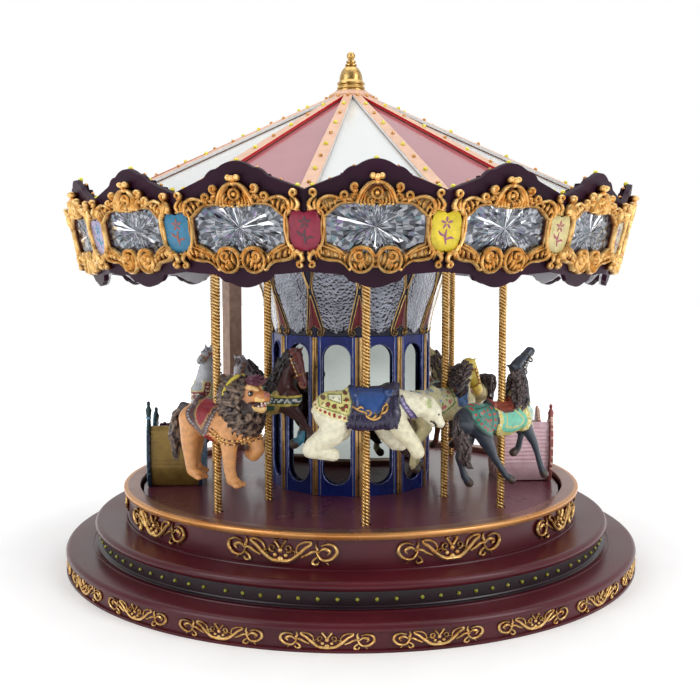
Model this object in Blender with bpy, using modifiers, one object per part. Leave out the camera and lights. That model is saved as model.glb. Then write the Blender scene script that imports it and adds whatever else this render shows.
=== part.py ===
"""Tabletop model of a fairground carousel.

Metres, +Z up. The origin is the centre of the base's underside, and the front is -Y.
A place on the carousel is given by its radius and its bearing: 0 degrees is the front,
and bearings grow the way the turntable runs, from the front towards +X.
"""

import math

import bmesh
import bpy
from mathutils import Matrix, Vector

MM = 0.001
GAP = 0.0003

# Base tiers
BASE_R = 0.2000
BASE_FACE_R = 0.1985
BASE_FACE_TOP = 0.0126
BASE_TOP = 0.0155
BAND_R = 0.1775
BAND_TOP = 0.0252
STEP_R = 0.1811
STEP_TOP = 0.0310
DRUM_R = 0.1580
DRUM_TOP = 0.0483
PIT_R = 0.1500
RIM_R = 0.1614
RIM_INNER_R = 0.1500
RIM_TOP = 0.0524
TURNED_STEPS = 48

# Turntable
DECK_R = 0.1480
DECK_TOP = 0.0485
DECK_THICK = 0.0040
SHAFT_R = 0.0100
SHAFT_FOOT_R = 0.0220
CORE_BORE_R = 0.0128
CORE_SIDES = 12
CORE_TURN = math.radians(5.0)
MIRROR_DRUM_R = 0.0550
ARCADE_R = 0.0570
ARCADE_TOP = 0.1560
ARCH_HALF_WIDTH = 0.0098
ARCH_LOW = 0.0560
ARCH_HIGH = 0.1510
CROWN_TOP = 0.2042
CROWN_TOP_R = 0.0700
GUIDE_R = 0.1600
GUIDE_THICK = 0.0030

# Canopy
PANELS = 16
PANEL_TURN = math.radians(4.0)
CORNER_R = 0.1926
CORNER_Z = 0.2397
LEAN = math.tan(math.radians(13.5))
GABLE_RISE = 0.0154
PENDANT_TOP = 0.1980
PENDANT_DROP = 0.0084
BOARD_THICK = 0.0030
STRIP_THICK = 0.0030
LENS_Z = 0.2212
LENS_HALF_HEIGHT = 0.0128
LENS_HALF_SHARE = 0.70
PLAQUE_SHARE = 0.80
PLAQUE_TOP = 0.2293
PLAQUE_LOW = 0.2088
CEILING_Z = 0.2290
CEILING_THICK = 0.0030
EAVE_R = 0.1835
EAVE_Z = 0.2385
ROOF_SLOPE = 0.48
ROOF_HOLE_R = 0.0065
ROOF_THICK = 0.0025
RIB_WIDTH = 0.0080
RIB_THICK = 0.0015
RIB_EAVE_R = 0.1850
FINIAL_Z = 0.3262

# Rear post
POST_SIDE = 0.0120
POST_R = 0.1682
POST_VALLEY = -6.5

# Poles and figures
POLE_R = 0.0026
POLE_HOLE_R = 0.0034
POLE_LOW = 0.0310
POLE_HIGH = 0.2185
FIGURE_BORE_R = 0.0029
OUTER_R = 0.1270
INNER_R = 0.0830
FIGURE_VOXEL = 0.0011
FIGURE_RATIO = 0.026

# Benches
BENCH_R = 0.1250
BENCH_HALF_WIDTH = 0.0190
BENCH_HALF_LENGTH = 0.0190
BENCH_SKIN = 0.0022
BENCH_END_THICK = 0.0026

# name: radius, bearing in degrees, lift over the platform, turn of its heading in degrees, colour
FIGURES = {
    "lion": (OUTER_R, -41.0, 0.0095, 10.0, "E1A064"),
    "polar_bear": (OUTER_R, 4.0, 0.0350, 0.0, "EBE6CD"),
    "black_horse": (OUTER_R, 49.0, 0.0085, -17.0, "2D323C"),
    "pink_horse": (OUTER_R, 139.0, 0.0060, 0.0, "E8D8B8"),
    "chestnut_horse": (OUTER_R, 184.0, 0.0030, 0.0, "8A4A2C"),
    "grey_horse": (OUTER_R, -121.0, 0.0080, 0.0, "AEB2B8"),
    "brown_horse": (INNER_R, -41.0, 0.0190, 10.0, "4A221C"),
    "cream_horse": (INNER_R, 49.0, 0.0130, -15.0, "E9D58C"),
    "bay_horse": (INNER_R, 139.0, 0.0070, 0.0, "6E3A22"),
    "white_horse": (INNER_R, -128.0, 0.0050, 0.0, "E4E0D6"),
}
BENCHES = {
    "left_bench": (-86.0, "8C7438"),
    "right_bench": (94.0, "C77C86"),
}


def clear_scene():
    for old in list(bpy.data.objects):
        bpy.data.objects.remove(old)


def make_collection(name):
    collection = bpy.data.collections.new(name)
    bpy.context.scene.collection.children.link(collection)
    return collection


def make_material(name, hex_colour, roughness, metallic=0.0):
    material = bpy.data.materials.new(name)
    material.use_nodes = True
    shader = material.node_tree.nodes["Principled BSDF"]
    channels = [int(hex_colour[i:i + 2], 16) / 255 for i in (0, 2, 4)]
    linear = [c / 12.92 if c <= 0.04045 else ((c + 0.055) / 1.055) ** 2.4 for c in channels]
    shader.inputs["Base Color"].default_value = (*linear, 1.0)
    shader.inputs["Roughness"].default_value = roughness
    shader.inputs["Metallic"].default_value = metallic
    return material


def add_object(name, mesh, material, collection, smooth=False):
    if smooth:
        mesh.shade_smooth()
        mesh.set_sharp_from_angle(angle=math.radians(35.0))
    obj = bpy.data.objects.new(name, mesh)
    obj.data.materials.append(material)
    collection.objects.link(obj)
    return obj


def finish_mesh(bm, name):
    """Turn a closed bmesh into a mesh whose faces point out."""
    bmesh.ops.recalc_face_normals(bm, faces=bm.faces)
    mesh = bpy.data.meshes.new(name)
    bm.to_mesh(mesh)
    bm.free()
    return mesh


def outward(bearing):
    return Vector((math.sin(bearing), -math.cos(bearing), 0.0))


def along(bearing):
    return Vector((math.cos(bearing), math.sin(bearing), 0.0))


def turned(name, profile, material, collection, steps=TURNED_STEPS, closed=False, turn=0.0):
    """Revolve (radius, height) points, listed down the outer side."""
    mesh = bpy.data.meshes.new(name)
    points = [(radius, 0.0, height) for radius, height in profile]
    edges = [(i, i + 1) for i in range(len(points) - 1)]
    if closed:
        edges.append((len(points) - 1, 0))
    mesh.from_pydata(points, edges, [])
    obj = add_object(name, mesh, material, collection)
    obj.rotation_euler.z = turn
    screw = obj.modifiers.new("turn", "SCREW")
    screw.steps = steps
    screw.render_steps = steps
    screw.use_merge_vertices = True
    screw.merge_threshold = 0.0001
    screw.use_smooth_shade = steps > PANELS
    return obj


def arc(centre_r, centre_z, radius, start, end, count):
    """Points of a round moulding, angles in degrees from the outward direction."""
    points = []
    for i in range(count + 1):
        angle = math.radians(start + (end - start) * i / count)
        points.append((centre_r + radius * math.cos(angle), centre_z + radius * math.sin(angle)))
    return points


def cut(obj, cutter, operation="DIFFERENCE"):
    boolean = obj.modifiers.new(operation.lower(), "BOOLEAN")
    boolean.operation = operation
    boolean.solver = "EXACT"
    boolean.object = cutter
    return boolean


def add_cutter(name, mesh, cutters):
    cutter = bpy.data.objects.new(name, mesh)
    cutter.hide_render = True
    cutter.display_type = "WIRE"
    cutters.objects.link(cutter)
    return cutter


def cylinder_into(bm, radius, low, high, x, y, segments=8):
    place = Matrix.Translation((x, y, (low + high) / 2))
    bmesh.ops.create_cone(bm, cap_ends=True, segments=segments, radius1=radius, radius2=radius,
                          depth=high - low, matrix=place)


def prism_into(bm, rings):
    """Close a prism between two equal rings of points."""
    near = [bm.verts.new(p) for p in rings[0]]
    far = [bm.verts.new(p) for p in rings[1]]
    count = len(near)
    bm.faces.new(near)
    bm.faces.new(far)
    for i in range(count):
        j = (i + 1) % count
        bm.faces.new((near[i], near[j], far[j], far[i]))


# Base

def build_base(parts, wood, band_paint, rim_metal):
    bottom = [(0.0, BASE_TOP), (BAND_R + 0.0045, BASE_TOP)]
    bottom += arc(BASE_FACE_R - 0.0022, BASE_FACE_TOP - 0.0003, 0.0024, 80.0, 25.0, 2)
    bottom += [(BASE_R, BASE_FACE_TOP - 0.0003), (BASE_R, BASE_FACE_TOP - 0.0015),
               (BASE_FACE_R, BASE_FACE_TOP - 0.0020), (BASE_FACE_R, 0.0018), (BASE_R, 0.0014),
               (BASE_R, 0.0), (0.0, 0.0)]
    turned("bottom_tier", bottom, wood, parts)

    band = [(BAND_R, BAND_TOP), (BAND_R, BASE_TOP + GAP), (PIT_R, BASE_TOP + GAP), (PIT_R, BAND_TOP)]
    turned("bulb_band", band, band_paint, parts, closed=True)

    step_low = BAND_TOP + GAP
    step = [(PIT_R, STEP_TOP), (STEP_R - 0.0035, STEP_TOP)]
    step += arc(STEP_R - 0.0029, STEP_TOP - 0.0029, 0.0029, 80.0, -60.0, 4)
    step += [(STEP_R - 0.0022, step_low), (PIT_R, step_low)]
    turned("middle_tier", step, wood, parts, closed=True)

    drum = [(DRUM_R, DRUM_TOP), (DRUM_R, STEP_TOP + GAP), (PIT_R, STEP_TOP + GAP), (PIT_R, DRUM_TOP)]
    turned("upper_drum", drum, wood, parts, closed=True)

    rim_low = DRUM_TOP + GAP
    rim = [(RIM_INNER_R, RIM_TOP), (RIM_R - 0.0008, RIM_TOP), (RIM_R, RIM_TOP - 0.0008),
           (RIM_R, rim_low), (RIM_INNER_R, rim_low)]
    turned("rim_ring", rim, rim_metal, parts, closed=True)


def build_column(parts, steel):
    foot_top = DECK_TOP - DECK_THICK - GAP
    profile = [(0.0, CEILING_Z - GAP), (SHAFT_R, CEILING_Z - GAP), (SHAFT_R, foot_top),
               (SHAFT_FOOT_R, foot_top), (SHAFT_FOOT_R, BASE_TOP + GAP), (0.0, BASE_TOP + GAP)]
    turned("centre_column", profile, steel, parts, steps=24)


def build_rear_post(parts, wood):
    low = STEP_TOP + GAP
    high = CEILING_Z - GAP
    bearing = PANEL_TURN + POST_VALLEY * 2 * math.pi / PANELS
    bm = bmesh.new()
    place = (Matrix.Translation(outward(bearing) * POST_R + Vector((0.0, 0.0, (low + high) / 2)))
             @ Matrix.Rotation(bearing, 4, "Z")
             @ Matrix.Diagonal((POST_SIDE, POST_SIDE, high - low, 1.0)))
    bmesh.ops.create_cube(bm, size=1.0, matrix=place)
    add_object("rear_post", finish_mesh(bm, "rear_post"), wood, parts)


# Canopy

def corner_radius(z):
    return CORNER_R + (z - CORNER_Z) * LEAN


def panel_point(panel, share, z, offset):
    """Point on a leaning board: share runs from -1 to 1 between its two corners."""
    bearing = PANEL_TURN + panel * 2 * math.pi / PANELS
    half = math.pi / PANELS
    radius = corner_radius(z) + offset / math.cos(half)
    flat = outward(bearing) * radius * math.cos(half)
    side = along(bearing) * share * radius * math.sin(half)
    return flat + side + Vector((0.0, 0.0, z))


def gable_share(share):
    """Height of the gabled top edge, 0 at the corner and 1 at the crest."""
    s = abs(share)
    slope = 0.92 * (1.0 - s)
    shoulder = 0.76 - 9.0 * (s - 0.30) ** 2
    crest = 1.0 - 3.2 * s * s
    return max(slope, shoulder, crest)


def gable_top(share):
    return CORNER_Z + GABLE_RISE * gable_share(share)


def pendant_low(share):
    s = abs(share)
    slope = 0.35 * (1.0 - s)
    shoulder = 0.68 - 20.0 * (s - 0.30) ** 2
    lobe = 1.0 - 4.5 * s * s
    return PENDANT_TOP - PENDANT_DROP * max(slope, shoulder, lobe)


def stepped_top(share):
    """The bead strip climbs in four equal stairs to each side of the crest."""
    stair = min(3, int((1.0 - abs(share)) * 4.0))
    return CORNER_Z - 0.0015 + GABLE_RISE * (0.12 + 0.27 * stair)


def frame_top(share):
    s = abs(share)
    crest = 0.0130 * max(0.0, 1.0 - (s / 0.55) ** 1.3)
    return LENS_Z + 0.0153 + crest


def frame_low(share):
    drop = 0.0062 if abs(share) < 0.56 else 0.0
    return LENS_Z - 0.0177 - drop


def panel_ring(name, top, low, outer, inner, shares, material, parts):
    """A closed ring of leaning panels, lofted through one four-sided section at each share."""
    bm = bmesh.new()
    sections = []
    for panel in range(PANELS):
        for share in shares:
            corners = [(top(share), outer), (low(share), outer), (low(share), inner), (top(share), inner)]
            sections.append([bm.verts.new(panel_point(panel, share, z, offset)) for z, offset in corners])
    for i, section in enumerate(sections):
        following = sections[(i + 1) % len(sections)]
        for a in range(4):
            b = (a + 1) % 4
            bm.faces.new((section[a], section[b], following[b], following[a]))
    return add_object(name, finish_mesh(bm, name), material, parts)


def even_shares(count):
    return [-1.0 + 2.0 * i / count for i in range(count)]


def stair_shares():
    """Two shares on each riser, so that the stairs have upright sides."""
    nudge = 0.004
    shares = [-1.0]
    for riser in (-0.75, -0.50, -0.25, 0.25, 0.50, 0.75):
        shares += [riser - nudge, riser + nudge]
    return shares


def lens_outline():
    """Eight-sided lens outline as shares and heights."""
    wide = LENS_HALF_SHARE
    high = LENS_HALF_HEIGHT
    points = [(-wide, -0.62), (-0.62 * wide, -1.0), (0.62 * wide, -1.0), (wide, -0.62),
              (wide, 0.62), (0.62 * wide, 1.0), (-0.62 * wide, 1.0), (-wide, 0.62)]
    return [(share, LENS_Z + high * z) for share, z in points]


def frame_openings(cutters):
    near = 0.0005
    far = 0.0150
    bm = bmesh.new()
    for panel in range(PANELS):
        rings = [[panel_point(panel, share, z, offset) for share, z in lens_outline()]
                 for offset in (near, far)]
        prism_into(bm, rings)
    for panel in range(PANELS):
        plaque_into(bm, panel, near, far)
    return add_cutter("frame_openings", finish_mesh(bm, "frame_openings"), cutters)


def plaque_into(bm, panel, near, far):
    """A shield that folds over the corner between two boards."""
    after = panel + 1
    outline = [(panel, PLAQUE_SHARE, PLAQUE_TOP), (panel, 1.0, PLAQUE_TOP),
               (after, -PLAQUE_SHARE, PLAQUE_TOP), (after, -PLAQUE_SHARE, PLAQUE_LOW + 0.0020),
               (panel, 1.0, PLAQUE_LOW), (panel, PLAQUE_SHARE, PLAQUE_LOW + 0.0020)]
    rings = [[bm.verts.new(panel_point(k, share, z, offset)) for k, share, z in outline]
             for offset in (near, far)]
    for ring in rings:
        bm.faces.new((ring[0], ring[1], ring[4], ring[5]))
        bm.faces.new((ring[1], ring[2], ring[3], ring[4]))
    for i in range(6):
        j = (i + 1) % 6
        bm.faces.new((rings[0][i], rings[0][j], rings[1][j], rings[1][i]))


def build_boards(parts, cutters, paints):
    inner = -BOARD_THICK
    panel_ring("rounding_boards", gable_top, pendant_low, 0.0, inner, even_shares(12), paints["plum"], parts)

    back = inner - GAP
    panel_ring("board_liner", lambda s: CEILING_Z - GAP, lambda s: pendant_low(s) + 0.0010,
               back, back - 0.0015, even_shares(8), paints["liner"], parts)
    panel_ring("light_strip", stepped_top, lambda s: CEILING_Z + CEILING_THICK + GAP,
               back, back - STRIP_THICK, stair_shares(), paints["plum"], parts)

    lens_low = LENS_Z - LENS_HALF_HEIGHT - 0.0010
    lens_high = LENS_Z + LENS_HALF_HEIGHT + 0.0010
    panel_ring("lens_band", lambda s: lens_high, lambda s: lens_low, 0.0015, GAP, [-1.0],
               paints["crystal"], parts)
    frames = panel_ring("gold_frames", frame_top, frame_low, 0.0045, 0.0015 + GAP, even_shares(10),
                        paints["gold"], parts)
    cut(frames, frame_openings(cutters))


def build_ceiling(parts, liner):
    """Sixteen-sided plate that just fits between the boards."""
    radius = corner_radius(CEILING_Z) - (BOARD_THICK + GAP) / math.cos(math.pi / PANELS)
    top = CEILING_Z + CEILING_THICK
    profile = [(0.0, top), (radius, top), (radius, CEILING_Z), (0.0, CEILING_Z)]
    turned("canopy_deck", profile, liner, parts, steps=PANELS, turn=corner_turn())


def corner_turn():
    """Turn that puts a revolved side's corners on the corners between boards."""
    return PANEL_TURN - math.pi / 2 + math.pi / PANELS


def roof_height(radius):
    return EAVE_Z + (EAVE_R - radius) * ROOF_SLOPE


def build_roof(parts, roof_paint):
    low = CEILING_Z + CEILING_THICK + GAP
    wall = 0.0025
    profile = [(ROOF_HOLE_R, roof_height(ROOF_HOLE_R)), (EAVE_R, EAVE_Z), (EAVE_R, low),
               (EAVE_R - wall, low), (EAVE_R - wall, EAVE_Z - ROOF_THICK),
               (ROOF_HOLE_R, roof_height(ROOF_HOLE_R) - ROOF_THICK - 0.0005)]
    turned("roof_shell", profile, roof_paint, parts, steps=PANELS, closed=True, turn=corner_turn())


def build_ribs(parts, rib_paint):
    """Sixteen straight ribs that meet in a ring at the top."""
    half = RIB_WIDTH / 2
    valley_r = half / math.sin(math.pi / PANELS)
    bm = bmesh.new()
    rings = {"low": [], "high": []}
    for level, lift in (("low", GAP), ("high", GAP + RIB_THICK)):
        for k in range(PANELS):
            bearing = PANEL_TURN + (k + 0.5) * 2 * math.pi / PANELS
            before = bearing - math.pi / PANELS
            left = outward(bearing) * RIB_EAVE_R - along(bearing) * half
            right = outward(bearing) * RIB_EAVE_R + along(bearing) * half
            eave_z = roof_height(RIB_EAVE_R) + lift
            valley = outward(before) * valley_r
            hole = outward(before) * ROOF_HOLE_R
            points = [(hole, roof_height(ROOF_HOLE_R) + lift), (valley, roof_height(valley_r) + lift),
                      (left, eave_z), (right, eave_z)]
            rings[level].append([bm.verts.new((p.x, p.y, z)) for p, z in points])
    for level in rings.values():
        for k in range(PANELS):
            hole, valley, left, right = level[k]
            hole_after, valley_after = level[(k + 1) % PANELS][:2]
            bm.faces.new((valley, left, right, valley_after))
            bm.faces.new((hole, valley, valley_after, hole_after))
    for k in range(PANELS):
        low = rings["low"][k] + rings["low"][(k + 1) % PANELS][:2]
        high = rings["high"][k] + rings["high"][(k + 1) % PANELS][:2]
        for a, b in ((1, 2), (2, 3), (3, 5), (0, 4)):
            bm.faces.new((low[a], low[b], high[b], high[a]))
    add_object("roof_ribs", finish_mesh(bm, "roof_ribs"), rib_paint, parts)


def build_finial(parts, gold):
    profile = [(0.0, 0.0280)]
    profile += arc(0.0, 0.0250, 0.0030, 60.0, -50.0, 4)
    profile += [(0.0030, 0.0218), (0.0034, 0.0206), (0.0030, 0.0196), (0.0041, 0.0185), (0.0038, 0.0172),
                (0.0058, 0.0157), (0.0073, 0.0133), (0.0081, 0.0105), (0.0084, 0.0078), (0.0097, 0.0052),
                (0.0086, 0.0040), (0.0098, 0.0028), (0.0098, 0.0014), (0.0108, 0.0), (0.0, 0.0)]
    points = [(radius, FINIAL_Z + height) for radius, height in profile]
    turned("finial", points, gold, parts, steps=20)


# Turntable

def pole_holes(name, low, high, cutters):
    bm = bmesh.new()
    for radius, bearing, _lift, _turn, _colour in FIGURES.values():
        spot = outward(math.radians(bearing)) * radius
        cylinder_into(bm, POLE_HOLE_R, low, high, spot.x, spot.y, segments=10)
    return add_cutter(name, finish_mesh(bm, name), cutters)


def ring_plate(name, outer, top, thick, material, parts, steps):
    profile = [(outer, top), (outer, top - thick), (CORE_BORE_R, top - thick), (CORE_BORE_R, top)]
    return turned(name, profile, material, parts, steps=steps, closed=True)


def build_platform(parts, cutters, wood, liner):
    deck = ring_plate("platform", DECK_R, DECK_TOP, DECK_THICK, wood, parts, TURNED_STEPS)
    cut(deck, pole_holes("deck_holes", DECK_TOP - DECK_THICK - 0.002, DECK_TOP + 0.002, cutters))

    guide_low = CROWN_TOP + GAP
    guide_top = guide_low + GUIDE_THICK
    guide = ring_plate("guide_plate", GUIDE_R, guide_top, GUIDE_THICK, liner, parts, 32)
    cut(guide, pole_holes("guide_holes", guide_low - 0.002, guide_top + 0.002, cutters))


def arch_outline(count=4):
    """Upright opening with a round top and a round bottom, as sideways and height points."""
    points = []
    for i in range(count + 1):
        angle = math.pi * i / count
        points.append((ARCH_HALF_WIDTH * math.cos(angle),
                       ARCH_HIGH - ARCH_HALF_WIDTH + ARCH_HALF_WIDTH * math.sin(angle)))
    for i in range(count + 1):
        angle = math.pi + math.pi * i / count
        points.append((ARCH_HALF_WIDTH * math.cos(angle),
                       ARCH_LOW + ARCH_HALF_WIDTH + ARCH_HALF_WIDTH * math.sin(angle)))
    return points


def build_core(parts, cutters, paints):
    low = DECK_TOP + GAP
    drum = [(MIRROR_DRUM_R, ARCADE_TOP), (MIRROR_DRUM_R, low), (CORE_BORE_R, low), (CORE_BORE_R, ARCADE_TOP)]
    turned("mirror_drum", drum, paints["mirror"], parts, steps=CORE_SIDES, closed=True, turn=CORE_TURN)

    inner = MIRROR_DRUM_R + GAP / math.cos(math.pi / CORE_SIDES)
    shell = [(ARCADE_R, ARCADE_TOP), (ARCADE_R, low), (inner, low), (inner, ARCADE_TOP)]
    arcade = turned("arcade", shell, paints["blue"], parts, steps=CORE_SIDES, closed=True, turn=CORE_TURN)
    bm = bmesh.new()
    for side in range(CORE_SIDES):
        bearing = CORE_TURN + math.pi / 2 + (side + 0.5) * 2 * math.pi / CORE_SIDES
        flat = math.cos(math.pi / CORE_SIDES)
        rings = []
        for reach in (inner * flat - GAP / 2, ARCADE_R + 0.004):
            rings.append([outward(bearing) * reach + along(bearing) * across + Vector((0.0, 0.0, z))
                          for across, z in arch_outline()])
        prism_into(bm, rings)
    cut(arcade, add_cutter("arches", finish_mesh(bm, "arches"), cutters))

    crown_low = ARCADE_TOP + GAP
    rise = CROWN_TOP - crown_low
    flare = CROWN_TOP_R - ARCADE_R
    slope = [(ARCADE_R + flare * (share ** 1.4), crown_low + rise * share)
             for share in (1.0, 0.75, 0.5, 0.25, 0.0)]
    crown = slope + [(CORE_BORE_R, crown_low), (CORE_BORE_R, CROWN_TOP)]
    turned("core_crown", crown, paints["crystal"], parts, steps=CORE_SIDES, closed=True, turn=CORE_TURN)


def bench_tub():
    """Side view of the tub between the bench's ends: a round-bottomed channel, thick as its skin."""
    outer = [(BENCH_HALF_LENGTH, 0.0400), (BENCH_HALF_LENGTH + 0.0005, 0.0160), (0.0145, 0.0060),
             (0.0080, 0.0020), (-0.0080, 0.0020), (-0.0145, 0.0060),
             (-BENCH_HALF_LENGTH - 0.0005, 0.0160), (-BENCH_HALF_LENGTH, 0.0430)]
    skin = BENCH_SKIN
    inner = [(-BENCH_HALF_LENGTH + skin, 0.0430), (-BENCH_HALF_LENGTH + skin, 0.0210), (-0.0030, 0.0200),
             (-0.0030, 0.0060), (0.0100, 0.0060), (BENCH_HALF_LENGTH - skin, 0.0150),
             (BENCH_HALF_LENGTH - skin, 0.0400)]
    return outer + inner


def bench_end():
    """Side view of an end plate, with its foot, its arm and two leaf-topped posts."""
    return [(0.0175, 0.0), (0.0195, 0.0060), (0.0222, 0.0180), (0.0215, 0.0380), (0.0195, 0.0450),
            (0.0180, 0.0550), (0.0160, 0.0450), (0.0130, 0.0400), (0.0060, 0.0330), (-0.0040, 0.0320),
            (-0.0120, 0.0410), (-0.0155, 0.0470), (-0.0180, 0.0560), (-0.0200, 0.0470),
            (-0.0220, 0.0380), (-0.0222, 0.0180), (-0.0195, 0.0060), (-0.0175, 0.0)]


def side_view_prism(bm, outline, low_y, high_y):
    rings = [[Vector((x, y, z)) for x, z in outline] for y in (low_y, high_y)]
    prism_into(bm, rings)


def build_bench(name, bearing, material, parts, cutters):
    bm = bmesh.new()
    reach = BENCH_HALF_WIDTH - BENCH_END_THICK + 0.0005
    side_view_prism(bm, bench_tub(), -reach, reach)
    bench = add_object(name, finish_mesh(bm, name), material, parts)
    bench.location = outward(bearing) * BENCH_R + Vector((0.0, 0.0, DECK_TOP + GAP))
    bench.rotation_euler.z = bearing
    for side in (-1, 1):
        bm = bmesh.new()
        near = side * (BENCH_HALF_WIDTH - BENCH_END_THICK)
        far = side * BENCH_HALF_WIDTH
        side_view_prism(bm, bench_end(), min(near, far), max(near, far))
        end_name = name + ("_outer_end" if side < 0 else "_inner_end")
        end = add_cutter(end_name, finish_mesh(bm, end_name), cutters)
        end.location = bench.location
        end.rotation_euler = bench.rotation_euler
        cut(bench, end, "UNION")


# Figures

def front_leg(side, shoulder, knee, fetlock, hoof):
    """A horse's front leg from its (x, z) joints, on the left (1) or right (-1) side."""
    y = 5.0 * side
    middle = ((shoulder[0] + knee[0]) / 2, (shoulder[1] + knee[1]) / 2)
    return [(shoulder[0], y * 0.9, shoulder[1], 5.2), (middle[0], y, middle[1], 3.5),
            (knee[0], y, knee[1], 2.5), (fetlock[0], y, fetlock[1], 2.1), (hoof[0], y, hoof[1], 2.6)]


def hind_leg(side, hip, stifle, hock, fetlock, hoof):
    """A horse's hind leg from its (x, z) joints."""
    y = 5.2 * side
    return [(hip[0], y * 0.85, hip[1], 7.0), (stifle[0], y, stifle[1], 4.9), (hock[0], y, hock[1], 2.6),
            (fetlock[0], y, fetlock[1], 2.2), (hoof[0], y, hoof[1], 2.7)]


def leaping_legs():
    return [front_leg(-1, (14.0, 46.0), (24.0, 31.0), (30.0, 15.0), (33.0, 10.0)),
            front_leg(1, (14.0, 45.0), (22.0, 37.0), (19.0, 27.0), (15.0, 24.5)),
            hind_leg(-1, (-23.0, 48.0), (-17.0, 37.0), (-10.5, 26.0), (-0.5, 13.0), (4.5, 9.6)),
            hind_leg(1, (-23.0, 48.0), (-24.0, 36.0), (-30.0, 26.0), (-25.5, 13.0), (-21.5, 8.6))]


def reaching_legs():
    return [front_leg(-1, (14.0, 46.0), (27.0, 38.0), (36.0, 31.0), (37.0, 26.0)),
            front_leg(1, (14.0, 45.0), (24.0, 34.0), (22.0, 22.0), (17.0, 19.0)),
            hind_leg(-1, (-23.0, 48.0), (-21.0, 36.0), (-29.0, 26.0), (-31.0, 13.0), (-28.0, 9.5)),
            hind_leg(1, (-23.0, 48.0), (-17.0, 36.0), (-22.0, 25.0), (-20.0, 13.0), (-17.0, 9.5))]


def horse(withers, crest, poll, nose, legs, mane=0.8):
    """Chains of (x, y, z, radius) in millimetres for a horse; mane thickens its neck."""
    start = Vector((poll[0], 0.0, poll[1]))
    run = Vector((nose[0], 0.0, nose[1])) - start
    ahead = run.normalized()
    under = Vector((ahead.z, 0.0, -ahead.x))
    if under.z > 0.0 and ahead.z < 0.5:
        under = -under
    cheek = start + run * 0.35 + under * 1.2
    muzzle = start + run * 0.92 + under * 0.6
    ear_root = start - ahead - under * 2.6
    ear_tip = start - ahead * 3.2 - under * 6.4
    chains = [[(-29.0, 0.0, 49.0, 8.2), (-22.0, 0.0, 50.0, 9.8), (-10.0, 0.0, 48.6, 9.6),
               (2.0, 0.0, 48.0, 10.0), (12.0, 0.0, 50.0, 9.2), (17.0, 0.0, 50.5, 7.4)],
              [(12.0, 0.0, 53.0, 8.6), (withers[0], 0.0, withers[1], 7.8 + mane),
               (crest[0], 0.0, crest[1], 5.8 + mane), (poll[0], 0.0, poll[1], 4.3 + mane)],
              [(start.x, 0.0, start.z, 4.4), (cheek.x, 0.0, cheek.z, 4.0), (muzzle.x, 0.0, muzzle.z, 2.7)],
              [(-8.0, 0.0, 54.6, 5.2), (3.0, 0.0, 54.8, 5.2)],
              [(-9.6, -3.6, 58.0, 2.4), (-11.0, 0.0, 59.6, 2.3), (-9.6, 3.6, 58.0, 2.4)],
              [(5.6, -3.0, 58.4, 2.2), (7.0, 0.0, 60.6, 2.2), (5.6, 3.0, 58.4, 2.2)],
              [(-29.0, 0.0, 52.0, 3.0), (-35.0, 0.0, 50.0, 3.4), (-36.5, 0.0, 41.0, 3.6),
               (-34.0, 0.0, 30.0, 3.6), (-33.0, 0.0, 21.0, 2.6)]]
    for side in (-1, 1):
        chains.append([(ear_root.x, side * 2.3, ear_root.z, 1.6), (ear_tip.x, side * 2.8, ear_tip.z, 0.8)])
    return chains + legs


def both_sides(chain):
    return [chain, [(x, -y, z, radius) for x, y, z, radius in chain]]


def lion():
    """Striding lion with a full mane, a lifted front paw and a saddle."""
    chains = [[(-15.0, 0.0, 51.0, 9.4), (-6.0, 0.0, 49.0, 10.6), (6.0, 0.0, 48.0, 10.6),
               (16.0, 0.0, 48.0, 10.8)],
              [(14.0, 0.0, 46.0, 10.2), (23.0, 0.0, 46.0, 9.6)],
              [(17.0, 0.0, 57.0, 13.0), (23.0, 0.0, 57.0, 15.6), (27.0, 0.0, 56.0, 13.0)],
              [(28.0, 0.0, 68.0, 9.4), (33.0, 0.0, 67.4, 7.2)],
              [(35.0, 0.0, 67.0, 5.9), (40.5, 0.0, 66.6, 5.0)],
              [(33.0, 0.0, 61.0, 5.2), (38.6, 0.0, 58.8, 3.8)],
              [(-13.0, -3.6, 59.6, 2.2), (-14.4, 0.0, 61.6, 2.2), (-13.0, 3.6, 59.6, 2.2)],
              [(-10.0, 0.0, 57.0, 4.8), (0.0, 0.0, 56.4, 4.8)],
              [(-20.0, 0.0, 55.0, 2.4), (-28.0, 0.0, 56.0, 2.6), (-33.0, 0.0, 48.0, 3.4),
               (-34.4, 0.0, 34.0, 4.0), (-34.2, 0.0, 25.0, 3.4)]]
    chains.append([(14.0, -5.4, 44.0, 7.0), (14.6, -6.2, 31.0, 4.8), (15.4, -6.4, 20.0, 3.8),
                   (17.0, -6.4, 14.6, 3.8), (23.0, -6.4, 13.0, 3.4)])
    chains.append([(22.0, 5.4, 42.0, 6.8), (31.0, 6.0, 35.0, 4.8), (35.0, 6.2, 31.4, 4.0),
                   (31.0, 6.2, 28.8, 3.8)])
    chains.append([(-16.0, -4.8, 49.0, 8.6), (-17.0, -6.0, 36.0, 6.2), (-17.0, -6.4, 24.0, 4.4),
                   (-15.0, -6.4, 16.2, 3.7), (-7.0, -6.4, 14.0, 3.5)])
    chains.append([(-14.0, 4.8, 48.0, 8.0), (-9.0, 6.0, 35.0, 5.2), (-13.0, 6.4, 24.0, 3.8),
                   (-12.0, 6.4, 15.0, 3.4), (-3.4, 6.4, 12.8, 3.3)])
    return chains + both_sides([(25.0, 7.2, 73.6, 2.6), (24.4, 8.4, 75.0, 1.9)])


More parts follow.
